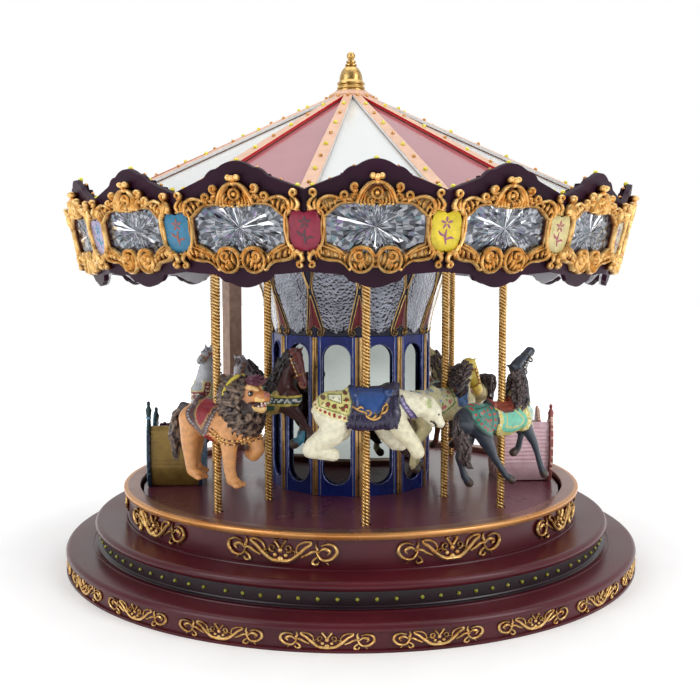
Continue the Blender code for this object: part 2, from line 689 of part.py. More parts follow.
def polar_bear():
    """Leaping bear with a low head, bent hind legs and a saddle with a skirt."""
    chains = [[(-20.0, 0.0, 33.0, 11.6), (-8.0, 0.0, 33.5, 11.6), (6.0, 0.0, 34.0, 11.2),
               (16.0, 0.0, 35.0, 10.6)],
              [(17.0, 0.0, 37.0, 9.6), (28.0, 0.0, 36.6, 7.6), (34.0, 0.0, 35.6, 6.6)],
              [(36.0, 0.0, 35.4, 6.6), (39.5, 0.0, 32.0, 5.6), (40.2, 0.0, 30.6, 4.7), (44.2, 0.0, 25.4, 3.1)],
              [(36.5, 0.0, 30.0, 3.6), (40.5, 0.0, 24.8, 1.9)],
              [(-31.0, 0.0, 34.0, 2.4), (-33.5, 0.0, 32.0, 2.0)],
              [(-8.0, 0.0, 41.6, 4.8), (8.0, 0.0, 42.2, 4.8)],
              [(13.6, -6.0, 44.4, 2.6), (17.4, 0.0, 47.2, 2.3), (13.6, 6.0, 44.4, 2.6)],
              [(-9.0, -6.0, 42.0, 2.4), (-11.0, 0.0, 44.2, 2.2), (-9.0, 6.0, 42.0, 2.4)]]
    chains.append([(14.0, -6.0, 31.0, 7.6), (22.0, -7.0, 20.5, 5.6), (27.5, -7.2, 14.0, 4.6),
                   (29.8, -7.2, 9.6, 4.2)])
    chains.append([(8.0, 6.0, 28.0, 7.0), (13.0, 7.0, 18.0, 5.0), (18.0, 7.2, 12.4, 4.2),
                   (22.0, 7.2, 11.4, 3.6)])
    chains.append([(-19.0, -5.8, 29.0, 9.4), (-20.5, -6.8, 21.0, 7.6), (-31.5, -7.2, 14.2, 5.0),
                   (-33.0, -7.2, 11.6, 4.8), (-19.6, -7.2, 8.6, 3.8)])
    chains.append([(-17.0, 5.8, 29.0, 9.2), (-15.0, 6.8, 21.0, 7.0), (-24.0, 7.2, 13.5, 4.8),
                   (-27.0, 7.2, 10.5, 4.4)])
    chains += both_sides([(-9.0, -9.6, 29.0, 3.6), (2.0, -9.8, 28.0, 3.8), (12.0, -9.2, 30.0, 3.6)])
    return chains + both_sides([(34.0, 5.2, 40.2, 2.0), (33.4, 6.2, 41.2, 1.4)])


FIGURE_SHAPES = {
    "lion": lion(),
    "polar_bear": polar_bear(),
    "black_horse": horse((11.0, 60.0), (12.0, 70.0), (9.5, 80.0), (20.5, 92.0), leaping_legs()),
    "pink_horse": horse((12.0, 60.0), (16.0, 69.0), (21.0, 77.0), (32.0, 61.0), reaching_legs()),
    "chestnut_horse": horse((12.0, 59.0), (15.0, 69.0), (19.0, 79.0), (31.0, 66.0), leaping_legs()),
    "grey_horse": horse((12.0, 60.0), (14.0, 70.0), (17.0, 80.0), (31.0, 70.0), leaping_legs()),
    "brown_horse": horse((12.0, 58.0), (16.0, 68.0), (21.0, 76.0), (33.5, 60.0), reaching_legs()),
    "cream_horse": horse((11.0, 61.0), (12.0, 69.0), (18.0, 73.5), (29.5, 57.5), reaching_legs(), mane=1.8),
    "bay_horse": horse((12.0, 60.0), (16.0, 69.0), (21.0, 77.0), (32.5, 63.0), reaching_legs()),
    "white_horse": horse((12.0, 60.0), (16.0, 69.0), (22.0, 77.0), (33.0, 64.0), leaping_legs()),
}


def limb_into(bm, start, end):
    """A round-ended, tapered limb between two (x, y, z, radius) points in millimetres."""
    a = Vector(start[:3]) * MM
    b = Vector(end[:3]) * MM
    axis = b - a
    turn = axis.to_track_quat("Z", "Y").to_matrix().to_4x4()
    bmesh.ops.create_cone(bm, cap_ends=True, segments=12, radius1=start[3] * MM, radius2=end[3] * MM,
                          depth=axis.length, matrix=Matrix.Translation((a + b) / 2) @ turn)
    for centre, radius in ((a, start[3]), (b, end[3])):
        bmesh.ops.create_uvsphere(bm, u_segments=12, v_segments=8, radius=radius * MM,
                                  matrix=Matrix.Translation(centre))


def build_figure(name, radius, bearing, lift, turn, paint, brass, bore, parts):
    """Limbs melted into one skin and thinned out, then drilled for the pole."""
    bm = bmesh.new()
    for chain in FIGURE_SHAPES[name]:
        for start, end in zip(chain, chain[1:]):
            limb_into(bm, start, end)
    mesh = bpy.data.meshes.new(name)
    bm.to_mesh(mesh)
    bm.free()
    figure = add_object(name, mesh, paint, parts)
    place = outward(bearing) * radius
    figure.location = place + Vector((0.0, 0.0, DECK_TOP + lift))
    figure.rotation_euler.z = bearing + turn
    melt = figure.modifiers.new("melt", "REMESH")
    melt.mode = "VOXEL"
    melt.voxel_size = FIGURE_VOXEL
    melt.use_smooth_shade = True
    thin = figure.modifiers.new("thin", "DECIMATE")
    thin.ratio = FIGURE_RATIO
    cut(figure, bore)

    bm = bmesh.new()
    cylinder_into(bm, POLE_R, POLE_LOW, POLE_HIGH, 0.0, 0.0, segments=10)
    pole = add_object(name + "_pole", finish_mesh(bm, name + "_pole"), brass, parts, smooth=True)
    pole.location = place


def figure_bores(cutters):
    bm = bmesh.new()
    for radius, bearing, _lift, _turn, _colour in FIGURES.values():
        spot = outward(math.radians(bearing)) * radius
        cylinder_into(bm, FIGURE_BORE_R, DECK_TOP + 0.001, CEILING_Z - 0.040, spot.x, spot.y, segments=10)
    return add_cutter("figure_bores", finish_mesh(bm, "figure_bores"), cutters)


def main():
    clear_scene()
    parts = make_collection("fairground_carousel")
    cutters = make_collection("cutters")

    wood = make_material("mahogany", "4A2126", 0.30)
    paints = {
        "plum": make_material("plum_paint", "3E202A", 0.45),
        "liner": make_material("pale_liner", "C9C9CC", 0.60),
        "crystal": make_material("crystal", "B9BCC6", 0.15),
        "gold": make_material("gold_paint", "BE823C", 0.35, 0.8),
        "mirror": make_material("mirror", "C8CCD0", 0.05, 1.0),
        "blue": make_material("blue_enamel", "1E2378", 0.35),
    }
    brass = make_material("brass", "C08A45", 0.30, 1.0)

    build_base(parts, wood, make_material("band_paint", "2A1620", 0.50),
               make_material("rim_gold", "C87D3C", 0.35, 0.8))
    build_column(parts, make_material("steel", "8C8C8C", 0.40, 1.0))
    build_rear_post(parts, make_material("post_wood", "8C6A58", 0.45))
    build_boards(parts, cutters, paints)
    build_ceiling(parts, paints["liner"])
    build_roof(parts, make_material("roof_enamel", "C8505A", 0.25))
    build_ribs(parts, make_material("rib_paint", "E1BEA5", 0.40))
    build_finial(parts, paints["gold"])

    build_platform(parts, cutters, wood, paints["liner"])
    build_core(parts, cutters, paints)
    for name, (bearing, colour) in BENCHES.items():
        build_bench(name, math.radians(bearing), make_material(name + "_paint", colour, 0.45), parts, cutters)

    bore = figure_bores(cutters)
    for name, (radius, bearing, lift, turn, colour) in FIGURES.items():
        paint = make_material(name + "_paint", colour, 0.40)
        build_figure(name, radius, math.radians(bearing), lift, math.radians(turn), paint, brass, bore, parts)


main()
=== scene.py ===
# %% [markdown]
# # A fairground carousel in miniature
# This lesson dresses a solid model of a tabletop carousel. The solids give the sizes and the moving bodies.
# Each step below makes one part of the real object: lacquered wood tiers, carved gold trim, cut crystal,
# twisted brass poles and painted figures. Lengths are typed in millimetres and turned to metres once.

import math
import random
import bmesh
import bpy
import numpy as np
from mathutils import Matrix, Vector
from mathutils.bvhtree import BVHTree


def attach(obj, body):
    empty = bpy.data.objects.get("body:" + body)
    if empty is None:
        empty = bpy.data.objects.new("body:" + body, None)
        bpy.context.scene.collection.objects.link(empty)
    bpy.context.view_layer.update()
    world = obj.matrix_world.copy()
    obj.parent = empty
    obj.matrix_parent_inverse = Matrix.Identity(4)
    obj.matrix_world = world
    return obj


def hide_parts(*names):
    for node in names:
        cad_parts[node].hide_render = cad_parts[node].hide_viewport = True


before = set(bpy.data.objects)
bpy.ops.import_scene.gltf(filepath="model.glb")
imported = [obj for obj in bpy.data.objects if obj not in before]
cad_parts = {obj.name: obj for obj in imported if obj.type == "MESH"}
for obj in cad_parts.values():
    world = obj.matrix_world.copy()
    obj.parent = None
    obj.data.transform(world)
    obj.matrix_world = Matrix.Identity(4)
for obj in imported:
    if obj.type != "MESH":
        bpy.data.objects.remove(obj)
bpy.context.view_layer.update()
scene = bpy.context.scene
scene.view_settings.view_transform = "Standard"
MM = 0.001

# %% [markdown]
# ## Camera, floor and light
# The photograph was taken from a little above the figures, about two thirds of a metre away. A camera is a
# position, a tilt and a focal length, so these three were fitted to the base and the canopy edge. The floor
# and the surroundings are white, and large soft lamps give metal and lacquer something broad to reflect.

# %% Camera
# The fit gives the focal length as a share of the picture's width, and the camera's distance, height and tilt.
FOCAL_SHARE = 922.7 / 700
SENSOR_MM = 36.0
AWAY, HIGH, TILT = 0.666, 0.194, 0.0764
optics = bpy.data.cameras.new("photo_camera")
optics.sensor_width = SENSOR_MM
optics.lens = FOCAL_SHARE * SENSOR_MM
optics.shift_x = -0.0014
optics.clip_start = 0.01
camera = bpy.data.objects.new("photo_camera", optics)
camera.location = (0, -AWAY, HIGH)
camera.rotation_euler = (math.pi / 2 - TILT, 0, 0)
scene.collection.objects.link(camera)
scene.camera = camera
print("focal length", round(optics.lens, 2), "mm")


# %% Small helpers for colours and nodes
def linear(hex_code):
    """An sRGB hex colour as the linear values that a shader takes."""
    channels = [int(hex_code[i:i + 2], 16) / 255 for i in (0, 2, 4)]
    return tuple(c / 12.92 if c <= 0.04045 else ((c + 0.055) / 1.055) ** 2.4 for c in channels) + (1,)


def add_node(tree, kind, settings=None, inputs=None):
    """A node with its settings; an input takes a value, or the socket that feeds it."""
    node = tree.nodes.new(kind)
    for name, value in (settings or {}).items():
        setattr(node, name, value)
    for name, value in (inputs or {}).items():
        if isinstance(value, bpy.types.NodeSocket):
            tree.links.new(value, node.inputs[name])
        else:
            node.inputs[name].default_value = value
    return node


def spread(ramp, stops):
    """Sets a ramp node's colours from (place, hex) pairs."""
    elements = ramp.color_ramp.elements
    for _ in range(len(stops) - 2):
        elements.new(0.5)
    for element, (place, colour) in zip(elements, stops):
        element.position = place
        element.color = linear(colour)


# %% Floor
def studio_floor():
    bm = bmesh.new()
    bmesh.ops.create_circle(bm, cap_ends=True, segments=64, radius=6.0)
    mesh = bpy.data.meshes.new("studio_floor")
    bm.to_mesh(mesh)
    bm.free()
    floor = bpy.data.objects.new("studio_floor", mesh)
    scene.collection.objects.link(floor)
    paper = bpy.data.materials.new("white_backdrop_paper")
    paper.use_nodes = True
    tree = paper.node_tree
    where = add_node(tree, "ShaderNodeTexCoord")
    fibre = add_node(tree, "ShaderNodeTexNoise", inputs={"Vector": where.outputs["Object"], "Scale": 40.0})
    tone = add_node(tree, "ShaderNodeValToRGB", inputs={"Fac": fibre.outputs["Fac"]})
    spread(tone, [(0.3, "F6F6F6"), (0.7, "FAFAFA")])
    shader = tree.nodes["Principled BSDF"]
    tree.links.new(tone.outputs["Color"], shader.inputs["Base Color"])
    shader.inputs["Roughness"].default_value = 0.9
    shader.inputs["Specular IOR Level"].default_value = 0.1
    # Painted light: the paper glows, faintly near the carousel and fully far from it, so the far floor stays white.
    shader.inputs["Emission Color"].default_value = linear("FFFFFF")
    reach = add_node(tree, "ShaderNodeVectorMath", {"operation": "LENGTH"}, {0: where.outputs["Object"]})
    painted_glow = add_node(tree, "ShaderNodeMapRange", {"interpolation_type": "SMOOTHSTEP"}, {
        "Value": reach.outputs["Value"], "From Min": 0.19, "From Max": 0.75, "To Min": 0.10, "To Max": 1.0})
    tree.links.new(painted_glow.outputs["Result"], shader.inputs["Emission Strength"])
    mesh.materials.append(paper)


studio_floor()


# %% Lamps and surroundings
def soft_lamp(name, place, aim, width, height, power):
    data = bpy.data.lights.new(name, "AREA")
    data.shape = "RECTANGLE"
    data.size = width
    data.size_y = height
    data.energy = power
    lamp = bpy.data.objects.new(name, data)
    lamp.location = place
    lamp.rotation_euler = (Vector(aim) - Vector(place)).to_track_quat("-Z", "Y").to_euler()
    scene.collection.objects.link(lamp)


soft_lamp("top_box", (0, 0.1, 1.3), (0, 0, 0.1), 1.4, 1.0, 9.0)
soft_lamp("left_box", (-1, -0.8, 0.7), (0, 0, 0.15), 0.7, 0.9, 6.5)
soft_lamp("right_box", (1, -0.7, 0.8), (0, 0, 0.15), 0.6, 0.9, 8.0)

world = bpy.data.worlds.new("white_studio")
scene.world = world
world.use_nodes = True
sky = world.node_tree
sky.nodes.clear()
ray = add_node(sky, "ShaderNodeLightPath")
direction = add_node(sky, "ShaderNodeTexCoord")
axes = add_node(sky, "ShaderNodeSeparateXYZ", inputs={"Vector": direction.outputs["Generated"]})
depth = add_node(sky, "ShaderNodeMapRange", inputs={"Value": axes.outputs["Y"], "From Min": -1.0, "From Max": 0.6})
room = add_node(sky, "ShaderNodeValToRGB", inputs={"Fac": depth.outputs["Result"]})
spread(room, [(0, "6E7072"), (0.5, "A9AAAC"), (1, "F4F4F4")])
lit = add_node(sky, "ShaderNodeBackground", inputs={"Color": room.outputs["Color"], "Strength": 0.85})
seen = add_node(sky, "ShaderNodeBackground", inputs={"Color": linear("FFFFFF"), "Strength": 1.0})
both = add_node(sky, "ShaderNodeMixShader", inputs={0: ray.outputs["Is Camera Ray"], 1: lit.outputs[0],
                                                    2: seen.outputs[0]})
add_node(sky, "ShaderNodeOutputWorld", inputs={"Surface": both.outputs[0]})

# %% [markdown]
# ## Places on the carousel
# Everything sits at a bearing round the upright axis: 0 faces the camera, and bearings grow towards the right.
# Sixteen leaning boards form the canopy, so one function turns millimetres on a board into a place in space.
# The numbers repeat the named sizes of the solids, because the dressed parts have to land on them.

# %% Bearings and boards
BOARDS = 16
BOARD_STEP = 360.0 / BOARDS
BOARD_TURN = 4.0
HALF_BOARD = math.radians(180.0 / BOARDS)
LEAN = math.tan(math.radians(13.5))
# The middle of the lenses, and a point on the line where two boards meet.
LENS_Z = 221.2
CORNER_R, CORNER_Z = 192.6, 239.7


def outward(bearing):
    return Vector((math.sin(math.radians(bearing)), -math.cos(math.radians(bearing)), 0))


def along(bearing):
    return Vector((math.cos(math.radians(bearing)), math.sin(math.radians(bearing)), 0))


def corner_bearing(corner):
    """The bearing of the corner that follows a board."""
    return BOARD_TURN + (corner + 0.5) * BOARD_STEP


def corner_radius(height):
    """Radius of the boards' corners, at a height above or below the middle of the lenses."""
    return CORNER_R + (LENS_Z + height - CORNER_Z) * LEAN


def board_half_width(height):
    """Half of a board's width in millimetres, at a height above or below the middle of its lens."""
    return corner_radius(height) * math.sin(HALF_BOARD)


def on_board(board, x, height, out):
    """Place of a point x across a board, height above its lens and out from its face, all in millimetres."""
    bearing = BOARD_TURN + board * BOARD_STEP
    reach = board_half_width(height) / math.tan(HALF_BOARD) + out
    return (outward(bearing) * reach + along(bearing) * x + Vector((0, 0, LENS_Z + height))) * MM


def on_cylinder(bearing, radius, x, height, out):
    """Place of a point x round a cylinder from a bearing, in millimetres."""
    turned = bearing + math.degrees(x / radius)
    return (outward(turned) * (radius + out) + Vector((0, 0, height))) * MM


print("lens middle at", [round(c * 1000, 1) for c in on_board(0, 0.0, 0.0, 0.0)])


# %% Finishing a piece
def finish_piece(bm, name, body, slot, materials, stands_for=(), sharp=40.0, weld=False):
    """The finished mesh as a piece that rides on a body; edges sharper than the angle stay crisp."""
    if weld:
        bmesh.ops.remove_doubles(bm, verts=bm.verts, dist=0.002 * MM)
    bmesh.ops.recalc_face_normals(bm, faces=bm.faces)
    mesh = bpy.data.meshes.new(name)
    bm.to_mesh(mesh)
    bm.free()
    mesh.polygons.foreach_set("use_smooth", [True] * len(mesh.polygons))
    mesh.set_sharp_from_angle(angle=math.radians(sharp))
    for material in materials:
        mesh.materials.append(material)
    piece = bpy.data.objects.new(name, mesh)
    scene.collection.objects.link(piece)
    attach(piece, body)
    if stands_for:
        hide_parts(*stands_for)
    print(name, "triangles", sum(len(p.vertices) - 2 for p in mesh.polygons))
    return piece


def verts_of(made):
    """The points among the geometry that an extrusion gives back."""
    return [item for item in made if isinstance(item, bmesh.types.BMVert)]


def mark_faces(verts, material_index):
    """Gives the faces of a new shape one of the piece's finishes."""
    for face in {face for vert in verts for face in vert.link_faces}:
        face.material_index = material_index


def redress(nodes, material):
    """Gives carried-over solids a better finish."""
    for name in nodes:
        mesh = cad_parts[name].data
        mesh.materials.clear()
        mesh.materials.append(material)


# %% [markdown]
# ## A way to make finishes
# Most parts are wood, resin or metal under paint or lacquer. Such a finish is a base colour that drifts a
# little, a gloss that drifts with it, and a fine unevenness of the film. One function builds that from a few
# real sizes, and the special finishes below it, such as mirror or crystal, add their own nodes.

# %% Painted and lacquered finishes
def coating(name, tones, drift, roughness, film, grain, places=(0.3, 0.7), **fixed):
    """A painted finish. Tones are its colours, at places in the drift's noise. Drift and grain are the sizes in
    mm of the colour change and of the film's unevenness, film is its height in mm, roughness is (low, high),
    and fixed sets the shader's own sockets."""
    material = bpy.data.materials.new(name)
    material.use_nodes = True
    tree = material.node_tree
    shader = tree.nodes["Principled BSDF"]
    where = add_node(tree, "ShaderNodeTexCoord").outputs["Object"]
    cloud = add_node(tree, "ShaderNodeTexNoise", inputs={"Vector": where, "Scale": 1000.0 / drift, "Detail": 4.0})
    tone = add_node(tree, "ShaderNodeValToRGB", inputs={"Fac": cloud.outputs["Fac"]})
    spread(tone, list(zip(places, tones)))
    gloss = add_node(tree, "ShaderNodeMapRange", inputs={
        "Value": cloud.outputs["Fac"], "From Min": 0.3, "From Max": 0.7, "To Min": roughness[0],
        "To Max": roughness[1]})
    fine = add_node(tree, "ShaderNodeTexNoise", inputs={"Vector": where, "Scale": 1000.0 / grain, "Detail": 2.0})
    bump = add_node(tree, "ShaderNodeBump", inputs={"Height": fine.outputs["Fac"], "Distance": film * MM,
                                                    "Strength": 0.6})
    tree.links.new(tone.outputs["Color"], shader.inputs["Base Color"])
    tree.links.new(gloss.outputs["Result"], shader.inputs["Roughness"])
    tree.links.new(bump.outputs["Normal"], shader.inputs["Normal"])
    for socket, value in fixed.items():
        shader.inputs[socket.replace("_", " ")].default_value = value
    return material


def blended(material, share, colour):
    """Lays a second colour over a finish: the finish shows where share is 1, the colour where it is 0."""
    tree = material.node_tree
    base = tree.nodes["Principled BSDF"].inputs["Base Color"]
    mix = add_node(tree, "ShaderNodeMix", {"data_type": "RGBA"},
                   {0: share, 6: linear(colour), 7: base.links[0].from_socket})
    tree.links.new(mix.outputs[2], base)
    return material


# %% Finishes of the stand
# Stained wood under sprayed satin lacquer: dark red-brown, with a soft sheen and a faint long drift of tone.
MAHOGANY = coating("mahogany_satin_lacquer", ("44121A", "581A24"), 60.0, (0.26, 0.36), 0.02, 1.5,
                   Specular_IOR_Level=0.3, Coat_Weight=0.1, Coat_Roughness=0.18)
# The turned deck is the same wood with a deeper rubbed gloss, so that it mirrors the core. Its paint is lighter and
# greyer than the tiers', as painted sheen.
DECK_LACQUER = coating("mahogany_deck_lacquer_painted_sheen", ("5A2834", "6A3240"), 50.0, (0.24, 0.34), 0.02, 2.0,
                       Coat_Weight=0.35, Coat_Roughness=0.14)
# The strip that holds the base bulbs: moulded dark plastic, nearly black, a little softer than the wood.
BAND_PLASTIC = coating("bulb_band_moulded_plastic", ("1C0D14", "2B1520"), 20.0, (0.30, 0.42), 0.02, 0.8)


def rubbed_copper(brown_to, bright_from):
    """Copper-gold metallic paint, sprayed over a wooden ring: bright and warm on the outer edge, and rubbed thin
    to a brown lacquer on the flat top inside it. The two radii in mm say where one goes over into the other."""
    material = coating("copper_gold_sprayed_ring", ("CE8A4A", "DFA566"), 30.0, (0.24, 0.34), 0.02, 0.7, Metallic=0.65)
    tree = material.node_tree
    where = add_node(tree, "ShaderNodeTexCoord").outputs["Object"]
    flat = add_node(tree, "ShaderNodeVectorMath", {"operation": "MULTIPLY"}, {0: where, 1: (1, 1, 0)})
    reach = add_node(tree, "ShaderNodeVectorMath", {"operation": "LENGTH"}, {0: flat.outputs["Vector"]})
    edge = add_node(tree, "ShaderNodeMapRange", inputs={
        "Value": reach.outputs["Value"], "From Min": brown_to * MM, "From Max": bright_from * MM})
    return blended(material, edge.outputs["Result"], "94685A")


RIM_COPPER = rubbed_copper(158.2, 159.0)
# Matt plum paint on board: a purple-black that stays soft in the light.
PLUM_PAINT = coating("plum_board_satin_paint", ("230E1C", "301628"), 25.0, (0.42, 0.52), 0.03, 0.6,
                     Specular_IOR_Level=0.1)
# White emulsion inside the canopy.
LINER_PAINT = coating("canopy_liner_white_paint", ("C4C4CB", "D8D8DC"), 25.0, (0.5, 0.65), 0.03, 0.8)
# Varnished tan wood of the square rear post.
POST_WOOD = coating("rear_post_varnished_wood", ("866352", "A48472"), 6.0, (0.35, 0.5), 0.04, 0.5)
# Turned steel of the hidden centre column.
STEEL = coating("centre_column_turned_steel", ("85868A", "9A9BA0"), 10.0, (0.3, 0.45), 0.02, 0.5,
                Metallic=1.0)


# %% [markdown]
# ## The stepped base
# A wood turner would cut each tier on a lathe, so each one is a profile that is spun round the axis. The
# profile carries the rounded lip, the recess under it and the thin bead line, and a fine spin keeps the
# lacquer's reflections smooth where the solid has flats.

# %% Turning a profile
def turned(name, profile, body, slot, material, stands_for=(), steps=192, sharp=30.0):
    bm = bmesh.new()
    verts = [bm.verts.new((radius * MM, 0, height * MM)) for radius, height in profile]
    edges = [bm.edges.new(pair) for pair in zip(verts, verts[1:] + verts[:1])]
    bmesh.ops.spin(bm, geom=verts + edges, cent=(0, 0, 0), axis=(0, 0, 1), dvec=(0, 0, 0),
                   angle=2 * math.pi, steps=steps, use_merge=True)
    return finish_piece(bm, name, body, slot, [material], stands_for, sharp, weld=True)


def rounded(x, z, radius, start, end, count=6):
    """Points of an arc in a profile, by its centre and its angles in degrees."""
    return [(x + radius * math.cos(math.radians(start + (end - start) * i / count)),
             z + radius * math.sin(math.radians(start + (end - start) * i / count))) for i in range(count + 1)]


# %% Tiers, band and rim
turned("turned_bottom_tier",
       [(20, 15.5), (181.5, 15.5), (181.6, 15.9), (182.3, 15.9), (182.5, 15.4)]
       + rounded(196.9, 12.3, 3.1, 88.0, 0.0, 7)
       + [(199.9, 11.2), (198.5, 10.7), (198.5, 1.8), (199.9, 1.4), (199.9, 0), (20, 0)],
       "stand", "mahogany", MAHOGANY, ("bottom_tier",))
turned("moulded_bulb_band",
       [(177.5, 25.2), (177.5, 24.2), (177, 24), (177, 17.6), (177.5, 17.4), (177.9, 16.8), (178.6, 16.5),
        (179.4, 15.9), (179.4, 15.8), (150, 15.8), (150, 25.2)],
       "stand", "band_paint", BAND_PLASTIC, ("bulb_band",))
turned("turned_middle_tier",
       [(150, 31), (158.6, 31), (158.9, 31.5), (159.9, 31.5), (160.2, 31), (176.6, 31)]
       + rounded(177.8, 28.2, 2.9, 80.0, -40.0, 9)
       + [(179.2, 26), (178.6, 25.5), (150, 25.5)],
       "stand", "mahogany", MAHOGANY, ("middle_tier",))
turned("turned_upper_drum",
       [(158, 48.3), (158, 32.6), (158.8, 32.2), (158.8, 31.3), (150, 31.3), (150, 48.3)],
       "stand", "mahogany", MAHOGANY, ("upper_drum",))
turned("sprayed_rim_ring",
       [(150, 51.9), (150.4, 52.3), (151, 52.4)] + rounded(160.2, 51.2, 1.2, 90.0, -20.0, 6)
       + [(161, 49.4), (160.4, 48.6), (150, 48.6)],
       "stand", "rim_gold", RIM_COPPER, ("rim_ring",))
redress(["platform"], DECK_LACQUER)
redress(["centre_column"], STEEL)
redress(["canopy_deck", "guide_plate", "board_liner"], LINER_PAINT)

# %% [markdown]
# ## Small bulbs
# Yellow-green resin bulbs run round the base, along the ribs and behind the gables. Resin beads glow a little
# because light passes through them, so the finish lets light scatter under its surface. Each bead is a small
# sphere of eighty faces, because there are hundreds.

# %% Beads
def clear_resin(name, light, dark):
    return coating(name, (dark, light), 2.0, (0.12, 0.22), 0.01, 0.5,
                   Subsurface_Weight=0.35, Subsurface_Scale=0.002, Coat_Weight=0.4)


# Cast polyester resin: glossy, a little see-through, strongly yellow-green.
LIME_RESIN = clear_resin("lime_bulb_cast_resin", "F0E648", "D4CA2A")
# The same resin, painted olive for the base bulbs as painted shade from the dark socket behind them.
SHADED_LIME_RESIN = clear_resin("lime_bulb_resin_painted_olive_shade", "B4B43C", "84862A")
# Brass-coloured beads: small pressed metal studs with a warm shine.
BRASS_STUD = coating("pressed_brass_stud", ("B5793F", "DFAE6C"), 1.5, (0.2, 0.35), 0.01, 0.3, Metallic=0.9)


def beads_into(bm, places, radius, material_index=0, detail=2, unit=MM):
    """Small spheres; the radius is in mm, and unit is MM for places in metres and 1 for places in mm."""
    for place in places:
        made = bmesh.ops.create_icosphere(bm, subdivisions=detail, radius=radius * unit,
                                          matrix=Matrix.Translation(place))
        mark_faces(made["verts"], material_index)


# Ten groups of ten bulbs with a wider gap between the groups.
GROUP_START, GROUP_STEP, BULB_STEP, GROUP_SHIFT = 10.4, 36, 3.48, 0.6
BAND_R, BULB_Z = 177, 20.8
bm = bmesh.new()
base_bulbs = [GROUP_START + GROUP_STEP * group + BULB_STEP * (bulb + 0.5) + GROUP_SHIFT
              for group in range(10) for bulb in range(10)]
beads_into(bm, [on_cylinder(bearing, BAND_R, 0.0, BULB_Z, 0.3) for bearing in base_bulbs], 1.15)
# The base bulbs take the lime resin painted olive, as painted shade.
finish_piece(bm, "base_bulbs", "stand", "band_paint", [SHADED_LIME_RESIN], sharp=180.0)

# %% [markdown]
# ## Carved gold trim
# The scrolls, frames and rosettes are cast from carved masters: strands that start thick, curl and end in a
# point. They could be sculpted, but a strand is really a path with a width and a height, so each one is a
# small ring that is extruded from point to point. The height is also kept as a UV value, and the paint reads
# it: high places are bright gold, and the hollows are painted dark brown as painted shade.

# %% Strands of carving
def smooth_path(points, steps=4):
    """Points on a smooth curve through the given ones."""
    padded = [points[0]] + list(points) + [points[-1]]
    path = []
    for a, b, c, d in zip(padded, padded[1:], padded[2:], padded[3:]):
        for i in range(steps):
            t = i / steps
            path.append(tuple(0.5 * (2 * q + (r - p) * t + (2 * p - 5 * q + 4 * r - s) * t * t
                                     + (3 * q - p - 3 * r + s) * t ** 3)
                              for p, q, r, s in zip(a, b, c, d)))
    return path + [tuple(points[-1])]


def curl(x, z, outer, inner, start, turns, count=14):
    """Points of a spiral round a centre, from its outer to its inner radius."""
    path = []
    for i in range(count + 1):
        share = i / count
        angle = math.radians(start + 360.0 * turns * share)
        radius = outer + (inner - outer) * share
        path.append((x + radius * math.cos(angle), z + radius * math.sin(angle)))
    return path


def swept_into(bm, frames, sides):
    """A ring that is extruded from frame to frame and closed at both ends."""
    made = bmesh.ops.create_circle(bm, cap_ends=True, segments=sides, radius=1.0, matrix=frames[0])["verts"]
    edges = list({edge for vert in made for edge in vert.link_edges})
    for before, here in zip(frames, frames[1:]):
        made = bmesh.ops.extrude_edge_only(bm, edges=edges)["geom"]
        fresh = set(verts_of(made))
        edges = [item for item in made if isinstance(item, bmesh.types.BMEdge)
                 and item.verts[0] in fresh and item.verts[1] in fresh]
        bmesh.ops.transform(bm, matrix=here @ before.inverted(), verts=verts_of(made))
    bmesh.ops.edgeloop_fill(bm, edges=edges)


def width_at(widths, share):
    """A width that runs from its start (share 0) over its middle (1) to its end (2)."""
    near, far = widths[:2] if share < 1.0 else widths[1:]
    return near + (far - near) * (share if share < 1.0 else share - 1.0)


def strand_into(bm, path, widths, relief, base=0.0, sides=6):
    """A tapered strand along a flat path: x across, z up, y out. Widths are half widths at its start, middle
    and end, and relief is its height over the ground."""
    last = len(path) - 1
    frames = []
    for i, (x, z) in enumerate(path):
        ahead = Vector(path[min(i + 1, last)]) - Vector(path[max(i - 1, 0)])
        ahead = ahead.normalized() if ahead.length > 0 else Vector((1, 0))
        width = width_at(widths, 2.0 * i / last)
        high = relief * (0.45 + 0.55 * min(1.0, width / max(widths)))
        frames.append(Matrix(((-ahead.y * width, 0, ahead.x, x),
                              (0, high * 0.6, 0, base + high * 0.4),
                              (ahead.x * width, 0, ahead.y, z),
                              (0, 0, 0, 1))))
    swept_into(bm, frames, sides)


def strands_into(bm, rows, base=0.0):
    """Strands from rows of points, steps between them, widths and relief; no steps keep the points as they are."""
    for points, steps, widths, relief in rows:
        strand_into(bm, smooth_path(points, steps) if steps else points, widths, relief, base)


def knob_into(bm, x, z, radius, relief, base=0.0):
    """A round boss."""
    shape = Matrix.Translation((x, base + relief * 0.4, z)) @ Matrix.Diagonal((radius, relief * 0.6, radius, 1))
    bmesh.ops.create_icosphere(bm, subdivisions=2, radius=1.0, matrix=shape)


def mirrored(bm):
    """Adds the other half of a design that was drawn for the right side."""
    bmesh.ops.mirror(bm, geom=bm.verts[:] + bm.edges[:] + bm.faces[:], axis="X", merge_dist=-1.0)


def relief_map(bm, top):
    """Keeps each point's height as a UV value before the carving is bent into place."""
    layer = bm.loops.layers.uv.new("relief")
    for face in bm.faces:
        for loop in face.loops:
            loop[layer].uv = (loop.vert.co.x / 40.0, loop.vert.co.y / top)


def repeated(design, places):
    """Copies a design mesh once for each place function, which turns (x, out, z) into a point in space."""
    bm = bmesh.new()
    for place in places:
        start = len(bm.verts)
        bm.from_mesh(design)
        bm.verts.ensure_lookup_table()
        for vert in bm.verts[start:]:
            vert.co = place(vert.co.x, vert.co.y, vert.co.z)
    return bm


